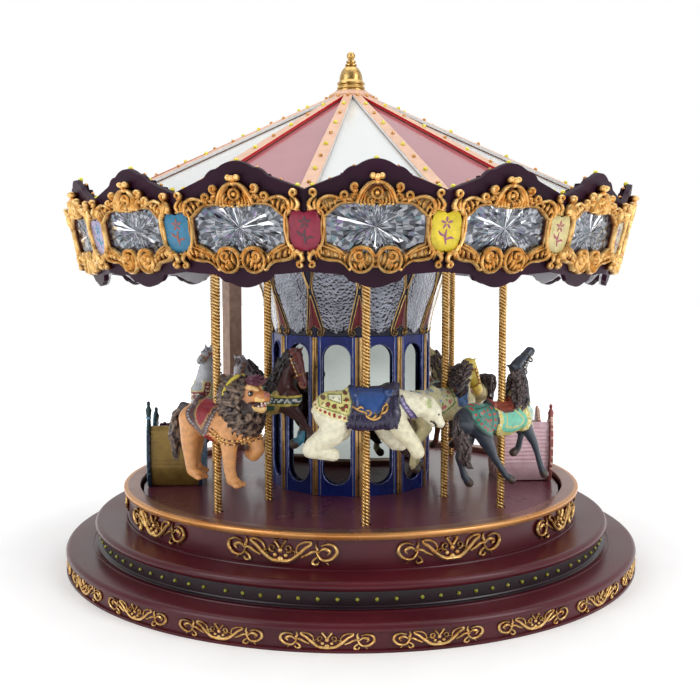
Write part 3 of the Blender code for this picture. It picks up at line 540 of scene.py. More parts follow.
def design_mesh(bm, name):
    mesh = bpy.data.meshes.new(name)
    bm.to_mesh(mesh)
    bm.free()
    return mesh


def carved_design(bm, name, top):
    """A finished carving as a mesh that keeps its heights; top is the height in mm that counts as full."""
    bmesh.ops.recalc_face_normals(bm, faces=bm.faces)
    relief_map(bm, top)
    return design_mesh(bm, name)


def lightened(mesh, share=0.6):
    """The same carving with that share of its faces, for one that is repeated many times."""
    carrier = bpy.data.objects.new("carving", mesh)
    scene.collection.objects.link(carrier)
    fewer = carrier.modifiers.new("fewer", "DECIMATE")
    fewer.ratio = share
    light = bpy.data.meshes.new_from_object(carrier.evaluated_get(bpy.context.evaluated_depsgraph_get()))
    bpy.data.objects.remove(carrier)
    print("lightened to", len(light.polygons), "faces")
    return light


# %% Antique gold paint
def wiped_gold(name, deep, middle, bright, metallic, roughness):
    """Gold paint over a cast, with painted shade: its hollows and creases turn to the deep brown."""
    material = coating(name, (middle, bright), 3.0, roughness, 0.05, 0.35, Metallic=metallic)
    tree = material.node_tree
    height = add_node(tree, "ShaderNodeUVMap", {"uv_map": "relief"})
    parts = add_node(tree, "ShaderNodeSeparateXYZ", inputs={"Vector": height.outputs["UV"]})
    # Painted shade: low relief and creases turn towards the deep brown.
    edge = add_node(tree, "ShaderNodeNewGeometry")
    crest = add_node(tree, "ShaderNodeMapRange", inputs={
        "Value": edge.outputs["Pointiness"], "From Min": 0.46, "From Max": 0.56, "To Min": -0.25, "To Max": 0.2})
    level = add_node(tree, "ShaderNodeMath", {"operation": "ADD"},
                     {0: parts.outputs["Y"], 1: crest.outputs["Result"]})
    shade_share = add_node(tree, "ShaderNodeMapRange", inputs={"Value": level.outputs[0], "From Min": 0.12,
                                                         "From Max": 0.56})
    return blended(material, shade_share.outputs["Result"], deep)


# Cast resin with gold paint: warm tops, and hollows painted nearly brown as painted shade.
ANTIQUE_GOLD = wiped_gold("antique_gold_cast_painted_shade", "642E10", "D49A4C", "FAD690", 0.55, (0.24, 0.38))

# %% [markdown]
# ## Scroll ornaments on the base
# Ten scrolls lie on the upper drum and twenty-one smaller ones on the bottom tier. Each is the same carving:
# a vine that rises from the middle into a long loop and ends in an open leafy ring. Half of it is drawn as
# strands and mirrored, and then the flat design is bent round the wood.

# %% One scroll
bm = bmesh.new()
vine = smooth_path([(0, -5.2), (5, -4.9), (10, -1.6), (14.5, 2.8), (17.8, 4.9), (17.4, 6.4), (13.4, 6),
                    (10.2, 3.8), (9.4, 0.6), (11.2, -1.2)], 4)
strands_into(bm, [
    (vine, 0, (1.3, 0.75, 0.35), 2.4),
    ([(12.2, -2.6), (15.6, -1), (19, 1), (22.6, 0.6)], 4, (0.5, 0.9, 0.5), 2),
    ([(21, 0.4), (24, -3.6), (29, -3.2), (32.4, 0.4), (31.4, 4.2), (27.4, 5.6), (23.6, 4.4)], 4, (0.6, 1.1, 0.4),
     2.6),
    ([(22.2, 0.8), (25.2, 2.8), (28.6, 1.4), (27.2, -0.6)], 4, (0.4, 1.1, 0.3), 2.2),
    ([(21.6, 2), (20.6, 4.4), (21.4, 7)], 4, (1, 0.7, 0.15), 1.9),
    ([(22, -1.8), (19.4, -3.6), (18.6, -5.8), (21.2, -6.4), (22.4, -4.8)], 4, (0.5, 0.8, 0.5), 2),
    ([(27.2, -3.4), (26.6, -5), (27.8, -6.4)], 3, (0.7, 0.5, 0.15), 1.6),
    (curl(4.6, 2.2, 2.3, 0.8, 250.0, 1.1, 12), 0, (0.6, 0.5, 0.4), 1.9),
    (curl(7.6, -0.4, 1.7, 0.6, 180.0, -1.0, 9), 0, (0.5, 0.45, 0.3), 1.6),
    ([(0.6, 2.4), (2.2, 4.8), (3.4, 6.6), (1.2, 6.8)], 3, (0.7, 0.7, 0.3), 1.9),
])
knob_into(bm, 3.2, -2.0, 1.2, 2.0)
mirrored(bm)
knob_into(bm, 0.0, -4.4, 1.9, 2.4)
knob_into(bm, 0.0, 0.8, 1.4, 2.2)
scroll = lightened(carved_design(bm, "scroll_design", 2.6))

# %% Scrolls bent round the wood
DRUM_R, DRUM_MIDDLE = 158, 40.3
TIER_R, TIER_MIDDLE, TIER_SCROLLS = 198.5, 6.2, 21
places = [lambda x, y, z, b=-14.6 + 36.0 * k: on_cylinder(b, DRUM_R, x, DRUM_MIDDLE + z, y) for k in range(10)]
finish_piece(repeated(scroll, places), "drum_scrolls", "stand", "rim_gold", [ANTIQUE_GOLD], sharp=60.0)
places = [lambda x, y, z, b=-3.6 + 360.0 / TIER_SCROLLS * k:
          on_cylinder(b, TIER_R, x * 0.76, TIER_MIDDLE + z * 0.66, y * 0.55) for k in range(TIER_SCROLLS)]
finish_piece(repeated(scroll, places), "tier_scrolls", "stand", "rim_gold", [ANTIQUE_GOLD], sharp=60.0)

# %% [markdown]
# ## Rounding boards
# The canopy's edge is sixteen leaning boards with a gabled, lobed top and a scalloped lower edge, cut from
# thin board. A grid gives the points, moving its rows to the two outlines gives the shape, and solidify gives
# the board its thickness. The stepped strip with the bulbs stands behind the gables.

# %% Outlines of the boards
def gable(share):
    s = abs(share)
    return 18.5 + 15.4 * max(0.92 * (1.0 - s), 0.76 - 9.0 * (s - 0.30) ** 2, 1.0 - 3.2 * s * s)


def pendant(share):
    s = abs(share)
    return -23.2 - 8.4 * max(0.35 * (1.0 - s), 0.68 - 20.0 * (s - 0.30) ** 2, 1.0 - 4.5 * s * s)


def stepped(share):
    stair = min(3, int((1.0 - abs(share)) * 4.0))
    return 17.0 + 15.4 * (0.12 + 0.27 * stair)


# %% Leaning boards
BOARD_THICK = 3.0
bm = bmesh.new()
for board in range(BOARDS):
    made = bmesh.ops.create_grid(bm, x_segments=64, y_segments=2, size=1.0)
    for vert in made["verts"]:
        share, rise = vert.co.x, (vert.co.y + 1.0) / 2.0
        height = pendant(share) + (gable(share) - pendant(share)) * rise
        vert.co = on_board(board, share * board_half_width(height), height, 0.0)
bmesh.ops.remove_doubles(bm, verts=bm.verts, dist=0.01 * MM)
bmesh.ops.recalc_face_normals(bm, faces=bm.faces)
bmesh.ops.solidify(bm, geom=bm.faces[:], thickness=BOARD_THICK * MM)
finish_piece(bm, "gabled_boards", "stand", "plum", [PLUM_PAINT], ("rounding_boards",), sharp=25.0)
redress(["light_strip"], PLUM_PAINT)

# %% Bulbs and studs behind the gables
STRIP_BACK = 4.4
bm = bmesh.new()
sockets = bmesh.new()
for board in range(BOARDS):
    for share, lime in ((-0.87, True), (-0.63, False), (-0.3, False), (0, True), (0.3, False), (0.63, False),
                        (0.87, True)):
        lift = gable(share) + (0.7 if lime else 0.4)
        spot = on_board(board, share * board_half_width(lift), lift, -STRIP_BACK)
        beads_into(bm, [spot], 1.5 if lime else 1.1, 0 if lime else 1)
        foot = stepped(share) - 0.4
        middle = on_board(board, share * board_half_width(lift), (lift + foot) / 2, -STRIP_BACK)
        bmesh.ops.create_cone(sockets, cap_ends=True, segments=8, radius1=1.0 * MM, radius2=0.7 * MM,
                              depth=(lift - foot) * MM, matrix=Matrix.Translation(middle))
finish_piece(bm, "gable_bulbs", "stand", "plum", [LIME_RESIN, BRASS_STUD], sharp=180.0)
finish_piece(sockets, "gable_bulb_sockets", "stand", "plum", [PLUM_PAINT], sharp=40.0)

# %% [markdown]
# ## Crystal lenses
# Each board holds a window of pressed crystal with a star cut into it, backed with foil. What the eye sees is
# the broken reflection of the room in hundreds of small facets, so the facets are real: a fan of spokes whose
# points are pushed in and out by chance, and a few spokes that stand up as long bright rays. Each facet is also
# dealt a dark, silver, near-white or violet-green paint as painted reflections, and the rays are painted
# near-white as painted highlights. The foil's colour drifts through faint blues, greens and violets.

# %% Star cut
# Pressed crystal over silver foil: every flat facet mirrors another part of the room. The finishes are painted
# reflections: a dark one, a silver one, a near-white painted highlight for the long rays, and a violet-green one.
def cut_crystal(name, tones):
    return coating(name, tones, 5.0, (0.10, 0.20), 0.02, 0.7, (0.36, 0.50, 0.64), Metallic=0.75, Coat_Weight=0.2,
                   Coat_Roughness=0.03)


CRYSTALS = [cut_crystal("pressed_crystal_painted_dark_reflection", ("34363A", "44464C", "54565C")),
            cut_crystal("pressed_crystal_silver", ("66686E", "7C7E84", "94969A")),
            cut_crystal("pressed_crystal_painted_flash_highlight", ("D0D2D6", "E2E4E8", "F0F2F4")),
            cut_crystal("pressed_crystal_violet_green", ("5A4E72", "567070", "6E5C82"))]


def star_lens(half_width, half_height, seed, spokes=72):
    dice = random.Random(seed)
    rays = {dice.randrange(spokes) for _ in range(5)}
    bm = bmesh.new()
    bmesh.ops.create_circle(bm, cap_ends=True, cap_tris=True, segments=spokes, radius=1.0)
    rim = [vert for vert in bm.verts if vert.co.length > 0.5]
    edges = [edge for edge in bm.edges if edge.is_boundary]
    angles = {vert: math.atan2(vert.co.y, vert.co.x) for vert in rim}

    def settle(verts, share):
        for vert in verts:
            spoke = round(angles[vert] / (2 * math.pi) * spokes) % spokes
            angle = angles[vert] + dice.uniform(-0.3, 0.3) * 2 * math.pi / spokes * (share < 1.0)
            reach = (abs(math.cos(angle) / half_width) ** 4 + abs(math.sin(angle) / half_height) ** 4) ** -0.25
            ridge = 0.55 * share if spoke in rays else dice.uniform(-0.3, 0.3) * min(1.0, 0.3 + share)
            vert.co = Vector((math.cos(angle) * reach * share, ridge, math.sin(angle) * reach * share))

    settle(rim, 0.12)
    for vert in bm.verts:
        if vert not in angles:
            vert.co = Vector((0, 0.1, 0))
    for share in (0.26, 0.40, 0.53, 0.65, 0.77, 0.89, 1):
        made = bmesh.ops.extrude_edge_only(bm, edges=edges)["geom"]
        fresh = verts_of(made)
        for vert in fresh:
            spoke = round(math.atan2(vert.co.z, vert.co.x) / (2 * math.pi) * spokes)
            angles[vert] = spoke * 2 * math.pi / spokes
        edges = [item for item in made if isinstance(item, bmesh.types.BMEdge) and item.is_boundary]
        settle(fresh, share)
    bmesh.ops.triangulate(bm, faces=bm.faces[:])
    bm.verts.index_update()
    # Extruding leaves facets in an order that can change from run to run. Taken by their points, each of them
    # is dealt the same finish every time.
    for face in sorted(bm.faces, key=lambda facet: sorted(vert.index for vert in facet.verts)):
        middle = face.calc_center_median()
        spoke = round(math.atan2(middle.z, middle.x) / (2 * math.pi) * spokes - 0.5) % spokes
        # Painted highlight on the rays and painted reflections on the rest: the near-white finish goes to the rays,
        # and violet-green is dealt more often on the left half.
        painted_flash = spoke in rays and math.hypot(middle.x / half_width, middle.z / half_height) < 0.8
        shares = (5, 4, 0.1, 2.4 if middle.x < 0.0 else 0.6)
        face.material_index = 2 if painted_flash else dice.choices((0, 1, 2, 3), shares)[0]
    return design_mesh(bm, "star_lens")


bm = bmesh.new()
for board in range(BOARDS):
    star = repeated(star_lens(26.4, 13.3, board), [lambda x, y, z, k=board: on_board(k, x, z, 0.9 + y)])
    bm.from_mesh(design_mesh(star, "lens"))
finish_piece(bm, "crystal_lenses", "stand", "crystal", CRYSTALS, ("lens_band",), sharp=1.0)

# %% [markdown]
# ## Carved frames
# The frames are the richest carving: a shell crest with a three-ball finial, curls down both shoulders, a
# roundel at each corner, and two large roundels under the lens. Only the right half is drawn. The strands lie
# on a flat ground, brown from the gold's painted shade, which closes the gaps between them as the casting's own
# backing does.

# %% The right half of a frame
bm = bmesh.new()
# ground behind the strands, brown from the gold's painted shade
for path, width in (([(0, 15.2), (8, 14.6), (16, 13.6), (24, 11.6), (27.6, 9.4)], (3.4, 2.6, 2.2)),
                    ([(0, 12.4), (0, 17.5), (0, 23.4)], (8, 5.6, 1.6)),
                    ([(0, -17), (7.4, -17.4), (13.5, -16.2), (21, -14.6), (27.4, -13)], (4, 3.6, 2.8)),
                    ([(27, 9), (27.3, 0), (26.9, -11)], (1.2, 1.1, 1.4)),
                    ([(20, 12.4), (27.4, 10.6)], (2.6, 3.6, 3.4)),
                    ([(20, -15.2), (27.4, -13)], (2.2, 3.2, 3.2))):
    strand_into(bm, smooth_path(path, 3), width, 0.9, 0.0, 8)
strand_into(bm, smooth_path([(6.6, -17.4), (8.2, -17.4)], 3), (5.6, 5.6, 5.6), 2.0, 0.0, 8)
# rails round the lens
strands_into(bm, [
    ([(0, 12.3), (7, 12.7), (13, 12), (19, 11.4), (22.6, 8.4), (25.6, 6.4)], 3, (0.7, 0.9, 0.8), 2.4),
    ([(26.2, 6.4), (26.6, 0), (26, -8.8)], 4, (0.7, 0.9, 0.7), 2.2),
    ([(27.8, 7), (28.3, 0), (27.6, -9.4)], 4, (0.6, 0.7, 0.6), 2.8),
    ([(26, -8.8), (22.4, -10.2), (18.6, -12.6), (15.4, -15.4), (14.6, -18.6)], 3, (0.8, 1.2, 0.5), 2.8),
    ([(13.2, -13), (11, -11), (7.4, -10.3), (3.6, -11.2), (1.2, -13.8), (0, -15.4)], 3, (0.8, 1, 0.8), 3.2),
    # upper corner loop with leaf bars inside
    ([(29.4, 6.6), (30.6, 9.6), (29.4, 13), (25.4, 15), (21, 14.6), (17.4, 13.2), (15.6, 11.8)], 4, (0.9, 1, 0.7),
     3.4),
    ([(29.4, 6.6), (26.6, 5.6), (23.6, 8), (20.8, 10.6), (17, 12.2)], 4, (0.8, 1, 0.6), 3),
], 0.5)
for bar in ([(28.6, 12.6), (26.6, 9.8), (25.4, 6.8)], [(25.8, 13.8), (24.2, 11.4), (23.8, 8.8)],
            [(22.6, 13.8), (21.6, 12.4), (21.4, 10.8)]):
    strand_into(bm, smooth_path(bar, 3), (0.4, 1.05, 0.5), 3.2, 0.5)
# curls on the shoulders
strands_into(bm, [
    (curl(16.6, 15.6, 2.4, 0.7, 250.0, 1.25, 14), 0, (0.9, 0.9, 0.6), 3.4),
    ([(15.4, 13.8), (13.4, 13.6), (12, 12)], 3, (0.9, 1.1, 0.3), 2.8),
    (curl(11.5, 19.8, 2.3, 0.6, 230.0, 1.3, 14), 0, (0.9, 0.9, 0.6), 3.8),
], 0.5)
knob_into(bm, 11.5, 19.8, 0.8, 3.0, 0.3)
strands_into(bm, [
    ([(10.4, 17.8), (11.4, 16.2), (13.2, 15.2), (14.4, 13.8)], 3, (0.7, 1.2, 0.4), 3),
    ([(19, 14.8), (20.8, 13.4), (21.6, 11.2)], 3, (0.4, 0.9, 0.4), 2.8),
    # leafy crest
    ([(0.6, 22.4), (4.4, 21.2), (7.6, 18), (9.4, 14.2), (10.6, 11.4)], 4, (0.9, 1.1, 0.9), 4.2),
], 0.5)
for leaf in ([(3, 20.6), (6.2, 17.8), (7.8, 14.2), (8.6, 11.2)], [(5, 17.6), (6.2, 15), (6.6, 11.4)],
             [(3.8, 15.6), (4.8, 13.8), (4.4, 11.2)], [(2, 14.4), (2.9, 12.8), (2.2, 10.8)]):
    strand_into(bm, smooth_path(leaf, 4), (0.35, 0.8, 0.65), 3.6, 0.5)
    knob_into(bm, leaf[-1][0] - 0.5, leaf[-1][1], 0.8, 3.2, 0.5)
strand_into(bm, curl(11.6, 15.2, 1.7, 0.5, 200.0, -1.1, 10), (0.6, 0.7, 0.4), 3.4, 0.5)
knob_into(bm, 2.3, 25.2, 1.8, 4.2, 0.3)
strands_into(bm, [
    (curl(0.0, 16.8, 2.7, 2.7, -90.0, 0.5, 10), 0, (0.7, 0.9, 0.7), 3.6),
    ([(0.4, 13.8), (1.6, 12.8), (1.4, 11)], 3, (0.4, 0.9, 0.4), 3.2),
    # lower corner loop
    ([(29, -9.4), (30.2, -12.8), (28.4, -16), (23.8, -17.2), (19.4, -17.6), (16.2, -19.4), (13.8, -22.2)], 4,
     (0.9, 1, 0.6), 3.2),
    ([(27.6, -9.8), (23.4, -11.4), (19.4, -13.4), (16.4, -16.6)], 4, (0.7, 1, 0.5), 3),
], 0.5)
for bar in ([(27.4, -11), (25.8, -13), (26.4, -15.4)], [(23.6, -12), (22.6, -13.8), (22.8, -16)],
            [(19.8, -13.8), (18.8, -15.2), (18.4, -17)]):
    strand_into(bm, smooth_path(bar, 3), (0.4, 1, 0.4), 3.0, 0.5)
knob_into(bm, 28.2, -13.4, 0.8, 2.8, 0.5)
knob_into(bm, 13.4, -22.0, 1.1, 3.0, 0.3)
strands_into(bm, [
    ([(14, -13.2), (16.2, -15.6), (15.8, -18.8)], 3, (0.4, 1.1, 0.4), 3),
    # large roundel under the lens: a snail curl with leaves that fan out below it
    (curl(7.4, -17.3, 6.2, 6.2, 100.0, 1.0, 22), 0, (0.75, 0.95, 0.75), 3.6),
    (curl(8.8, -15.0, 2.9, 0.8, 210.0, 1.3, 14), 0, (1, 1.05, 0.6), 4),
], 0.5)
knob_into(bm, 8.8, -15.0, 0.7, 2.6, 0.5)
for leaf in ([(3.2, -19.6), (4.6, -16.6), (5, -13.4)], [(4.8, -21.6), (6.4, -18.8), (6.8, -16)],
             [(7.2, -22.6), (8.4, -20.2), (9, -18.2)], [(9.6, -22.2), (10.6, -20), (11.6, -18.4)]):
    strand_into(bm, smooth_path(leaf, 3), (0.4, 1.1, 0.5), 3.9, 0.5)
# half of a corner shield's frame, leaf top and drop, measured from the corner line
SHIELD = board_half_width(0.0)


def from_corner(points):
    return [(SHIELD - across, z) for across, z in points]


strand_into(bm, smooth_path(from_corner([(6.4, 9), (8.8, 6.8), (9.9, 0), (9, -7.6), (6.8, -12), (3.8, -13.8),
                                         (1.2, -13.4)]), 3),
            (0.8, 0.95, 0.8), 3.2, 0.6)
strand_into(bm, smooth_path(from_corner([(7.4, 8.8), (4.4, 8.9), (1, 8.2)]), 3), (0.5, 0.9, 0.6), 2.8, 0.8)
for leaf, width in (([(3.2, 8.2), (1.7, 10.8), (2.6, 13.2), (4.2, 14.6)], (1.3, 1.2, 0.7)),
                    ([(5, 8.6), (4.5, 11.6), (5.8, 14.4)], (1.2, 1.1, 0.3)),
                    ([(6.8, 8.4), (6.9, 11.2), (8.8, 13.8)], (1.1, 1.1, 0.3)),
                    ([(7.8, 8.6), (9.4, 10.2), (10.4, 12)], (0.7, 0.8, 0.2)),
                    ([(5.2, -12.6), (2.8, -14.4), (2.1, -16.6), (3.4, -18.2)], (1.4, 1.2, 0.8)),
                    ([(6.6, -11.6), (5.6, -14.2), (6.4, -17)], (1.1, 0.9, 0.3)),
                    ([(7.6, -10.6), (8.4, -12.8), (8.8, -14.8)], (0.8, 0.8, 0.2))):
    strand_into(bm, smooth_path(from_corner(leaf), 3), width, 3.2, 0.5)
strands_into(bm, [
    (curl(SHIELD - 3.5, 16.8, 2.0, 0.7, 270.0, -1.2, 14), 0, (0.95, 0.9, 0.6), 3.4),
    (curl(SHIELD - 3.4, -19.6, 1.7, 0.6, 90.0, 1.2, 12), 0, (0.9, 0.85, 0.6), 3.2),
], 0.5)
mirrored(bm)
knob_into(bm, 0.0, 24.6, 2.0, 4.8, 0.3)
knob_into(bm, 0.0, 22.2, 1.4, 3.8, 0.3)
knob_into(bm, 0.0, 16.8, 1.4, 4.0, 0.3)
strand_into(bm, curl(0.0, -18.6, 1.7, 1.7, 90.0, 1.0, 10), (0.6, 0.6, 0.6), 3.0, 0.5)
frame_carving = lightened(carved_design(bm, "frame_carving", 4.0))

# %% Frames on the boards
places = [lambda x, y, z, k=board: on_board(k, x, z, 0.1 + y * 1.3) for board in range(BOARDS)]
finish_piece(repeated(frame_carving, places), "carved_gold_frames", "stand", "gold", [ANTIQUE_GOLD], ("gold_frames",),
             sharp=60.0)

# %% [markdown]
# ## Corner shields
# Between the lenses a small enamelled shield stands across each corner. A face is drawn from a few corner
# points, mirrored and extruded to a plate. Each one here carries a plain flower of the maker's own drawing: five
# petals on a stem with two leaves, painted in a colour against the ground.

# %% Shields and flowers
SHIELD_GROUNDS = {0: "DEC72E", 1: "CCBF86", 2: "C6C4B0", 3: "9486AA", 4: "226488", 5: "8C1A36", 6: "DEC72E",
                  7: "CCBF86",
                  8: "9486AA", 9: "226488", 10: "8C1A36", 11: "DEC72E", 12: "C6C4B0", 13: "A49FC0", 14: "2A7598",
                  15: "8A1A38"}
SPRIG_COLOURS = {"DEC72E": "8A4A6E", "CCBF86": "9A4A58", "C6C4B0": "8A5A70", "9486AA": "3E7A8C", "226488": "9A4438",
                 "8C1A36": "3C2A30", "A49FC0": "4A88A0", "2A7598": "8A4A3C", "8A1A38": "3A2A30"}


def enamel(name, colour):
    """Fired enamel on a cast plate: a strong flat colour under a smooth glass-like film."""
    worn = "%02X%02X%02X" % tuple(int(int(colour[i:i + 2], 16) * 0.86) for i in (0, 2, 4))
    return coating(name, (worn, colour), 4.0, (0.24, 0.34), 0.02, 1.0, Coat_Weight=0.12,
                   Coat_Roughness=0.05, Specular_IOR_Level=0.3)


shield_finish = {ground: enamel("shield_enamel_" + ground.lower(), ground)
                 for ground in sorted(set(SHIELD_GROUNDS.values()))}
sprig_finish = {ground: coating("flower_brushed_paint_" + ground.lower(), (ink, ink), 1.0, (0.4, 0.5), 0.02, 0.5)
                for ground, ink in SPRIG_COLOURS.items()}
SHIELD_THICK = 2.1
half_shield = [(0, -12), (1.5, -13), (4.4, -12.9), (6.6, -11), (8, -6.6), (8.7, -1), (8.3, 3.4), (7, 7.2),
               (5.4, 8.2), (2.2, 7.9), (0, 7)]
flower = [[(0.4, -9), (-0.4, -5), (0.2, -1)], [(0.2, -6.6), (2.6, -5.4), (4.4, -6)],
          [(-0.2, -4.6), (-2.8, -3.8), (-4.2, -2)]]
for petal in range(5):
    turn = math.radians(18 + 72 * petal)
    flower.append([(0.6 * math.cos(turn), 2.0 + 0.6 * math.sin(turn)),
                   (2.0 * math.cos(turn), 2.0 + 2.0 * math.sin(turn)),
                   (3.4 * math.cos(turn), 2.0 + 3.4 * math.sin(turn))])


def on_corner(corner, x, height, out):
    """Place of a point x across a corner, height above the lenses' middle and out from the corner, in mm."""
    bearing = corner_bearing(corner)
    reach = corner_radius(height) + out
    return (outward(bearing) * reach + along(bearing) * x + Vector((0, 0, LENS_Z + height))) * MM


for ground in shield_finish:
    corners = [corner for corner, colour in SHIELD_GROUNDS.items() if colour == ground]
    bm = bmesh.new()
    for corner in corners:
        whole = half_shield + [(-x, z) for x, z in reversed(half_shield[1:-1])]
        front = bm.faces.new([bm.verts.new(on_corner(corner, x, z, -1.0)) for x, z in whole])
        made = bmesh.ops.extrude_face_region(bm, geom=[front])["geom"]
        for vert in verts_of(made):
            vert.co += outward(corner_bearing(corner)) * SHIELD_THICK * MM
    bmesh.ops.recalc_face_normals(bm, faces=bm.faces)
    rims = [edge for edge in bm.edges if edge.calc_face_angle(0.0) > 1.0]
    bmesh.ops.bevel(bm, geom=rims, offset=0.35 * MM, segments=2, profile=0.5, affect="EDGES", material=-1)
    finish_piece(bm, "shields_" + ground.lower(), "stand", "crystal", [shield_finish[ground]], sharp=30.0)
    bm = bmesh.new()
    for path in flower:
        strand_into(bm, smooth_path(path, 3), (0.35, 0.75, 0.3), 0.4)
    bmesh.ops.recalc_face_normals(bm, faces=bm.faces)
    drawn = design_mesh(bm, "flower")
    places = [lambda x, y, z, k=corner: on_corner(k, x, z, 1.0 + y) for corner in corners]
    finish_piece(repeated(drawn, places), "painted_flowers_" + ground.lower(), "stand", "crystal",
                 [sprig_finish[ground]], sharp=60.0)

# %% [markdown]
# ## Roof, ribs and finial
# The roof is sixteen flat panels, glossy white and glossy red by turns. The solid's panels are already flat,
# so they stay and take a finish that reads the bearing to choose the colour. Its red is painted pinker than
# the red of the rib walls, as painted sheen. The ribs stand up from the roof: their tops are beige, and each
# side wall takes the red or the white of the panel beside it.

# %% Roof panels by bearing
def roof_lacquer():
    """Sprayed gloss lacquer on pressed sheet: clean colour, broad soft reflections. The red is painted pink, as
    painted sheen.
    """
    material = coating("roof_gloss_lacquer_pink_painted_sheen", ("A25A62", "AA646C"), 40.0, (0.18, 0.26), 0.02, 4.0,
                       Coat_Weight=0.6, Coat_Roughness=0.08)
    tree = material.node_tree
    where = add_node(tree, "ShaderNodeTexCoord").outputs["Object"]
    axes = add_node(tree, "ShaderNodeSeparateXYZ", inputs={"Vector": where})
    bearing = add_node(tree, "ShaderNodeMath", {"operation": "ARCTAN2"}, {0: axes.outputs["Y"], 1: axes.outputs["X"]})
    first = math.radians(BOARD_TURN - 90.0)
    shift = add_node(tree, "ShaderNodeMath", {"operation": "SUBTRACT"},
                     {0: bearing.outputs[0], 1: first - HALF_BOARD})
    count = add_node(tree, "ShaderNodeMath", {"operation": "DIVIDE"}, {0: shift.outputs[0], 1: 4 * HALF_BOARD})
    turn = add_node(tree, "ShaderNodeMath", {"operation": "FRACT"}, {0: count.outputs[0]})
    odd = add_node(tree, "ShaderNodeMath", {"operation": "GREATER_THAN"}, {0: turn.outputs[0], 1: 0.5})
    return blended(material, odd.outputs[0], "DADDDC")


redress(["roof_shell"], roof_lacquer())

# %% Ribs
# Beige-gold satin paint on the rib tops.
RIB_PAINT = coating("rib_beige_gold_satin_paint", ("D2A68A", "DDB497"), 8.0, (0.35, 0.45), 0.02, 0.6, Metallic=0.15)
# Deep red and white gloss on the ribs' side walls.
WALL_RED = coating("rib_wall_red_gloss", ("B81E28", "C8262F"), 20.0, (0.2, 0.3), 0.02, 1.0)
WALL_WHITE = coating("rib_wall_white_gloss", ("D2D2D2", "E2E2E2"), 20.0, (0.2, 0.3), 0.02, 1.0)
EAVE_R, EAVE_Z, ROOF_SLOPE = 183.5, 238.5, 0.48
RIB_START, RIB_LONG, RIB_TALL = 12, 173, 2.4


def roof_height(radius):
    return EAVE_Z + (EAVE_R - radius) * ROOF_SLOPE


bm = bmesh.new()
for rib in range(BOARDS):
    bearing = corner_bearing(rib)
    made = bmesh.ops.create_grid(bm, x_segments=1, y_segments=8, size=1.0)["verts"]
    for vert in made:
        reach = RIB_START + (vert.co.y + 1.0) / 2.0 * RIB_LONG
        half = 2.9 + 1.2 * min(1.0, reach / 120.0)
        vert.co = (outward(bearing) * reach + along(bearing) * vert.co.x * half
                   + Vector((0, 0, roof_height(reach) + 0.2))) * MM
    faces = list({face for vert in made for face in vert.link_faces})
    walls = bmesh.ops.extrude_face_region(bm, geom=faces)["geom"]
    bmesh.ops.translate(bm, vec=(0, 0, RIB_TALL * MM), verts=verts_of(walls))
bmesh.ops.recalc_face_normals(bm, faces=bm.faces)
for face in bm.faces:
    middle = face.calc_center_median()
    bearing = math.degrees(math.atan2(middle.x, -middle.y))
    rib = round((bearing - BOARD_TURN) / BOARD_STEP - 0.5)
    side = face.normal.dot(along(corner_bearing(rib)))
    if abs(side) > 0.7:
        panel = rib + (1 if side > 0 else 0)
        face.material_index = 1 if panel % 2 else 2
edges = [edge for edge in bm.edges if edge.calc_face_angle(0.0) > 1.0]
bmesh.ops.bevel(bm, geom=edges, offset=0.3 * MM, segments=1, profile=0.5, affect="EDGES", material=0)
finish_piece(bm, "raised_ribs", "stand", "ribs", [RIB_PAINT, WALL_RED, WALL_WHITE], ("roof_ribs",), sharp=30.0)

# %% Bulbs and studs on the ribs
bm = bmesh.new()
for rib in range(BOARDS):
    for spot in range(9):
        reach = 18.0 + 19.7 * spot
        place = (outward(corner_bearing(rib)) * reach + Vector((0, 0, roof_height(reach) + 3.1))) * MM
        beads_into(bm, [place], 1.35 if spot % 2 else 1.2, 0 if spot % 2 else 1)
finish_piece(bm, "rib_bulbs", "stand", "ribs", [LIME_RESIN, BRASS_STUD], sharp=180.0)

# %% Finial
FINIAL_Z = 326.2
profile = [(0, 28)] + rounded(0.0, 25.0, 3.0, 84.0, -50.0, 10)
profile += [(2, 22.4), (2.3, 21.8), (3.4, 21.4), (3.5, 20.4), (2.6, 20), (3, 19.4), (4.2, 19), (4.2, 18.1),
            (3.2, 17.7)]
profile += [(4.6, 17), (5.8, 15.7), (6.7, 14.3), (7.4, 12.6), (7.9, 10.8), (8.1, 9.2), (8.3, 7.6), (9.2, 6.6),
            (9.8, 5.9),
            (9.7, 4.9), (8.4, 4.3), (8.4, 3.7), (9.3, 3.5), (9.9, 2.9), (9.7, 1.9), (8.7, 1.5), (8.9, 1), (10.8, 0.7),
            (10.8, 0), (0, 0)]
# Cast metal with pale gold plating and dark grooves.
FINIAL_GOLD = coating("finial_plated_casting", ("B08A4A", "D9B878"), 3.0, (0.25, 0.4), 0.25, 1.6, Metallic=0.85)
turned("cast_finial", [(r, FINIAL_Z + z) for r, z in profile], "stand", "gold", FINIAL_GOLD, ("finial",), 64)
turned("rib_collar", [(0.5, FINIAL_Z - 0.2), (11.6, FINIAL_Z - 0.2), (15.6, FINIAL_Z - 2.6), (16.2, FINIAL_Z - 3.6),
                      (16, FINIAL_Z - 6.0), (0.5, FINIAL_Z - 6.0)], "stand", "ribs", RIB_PAINT, (), 16, 20.0)

# %% [markdown]
# ## The mirrored core
# Twelve mirrors stand behind a blue enamelled arcade. Each facet of the arcade is a thin panel round a window
# with half-round ends, and a real mirror behind it does the rest: a smooth metal that reflects the figures.
# Gilt pilaster strips and thin painted lines run down both sides of each joint, with a groove between them.

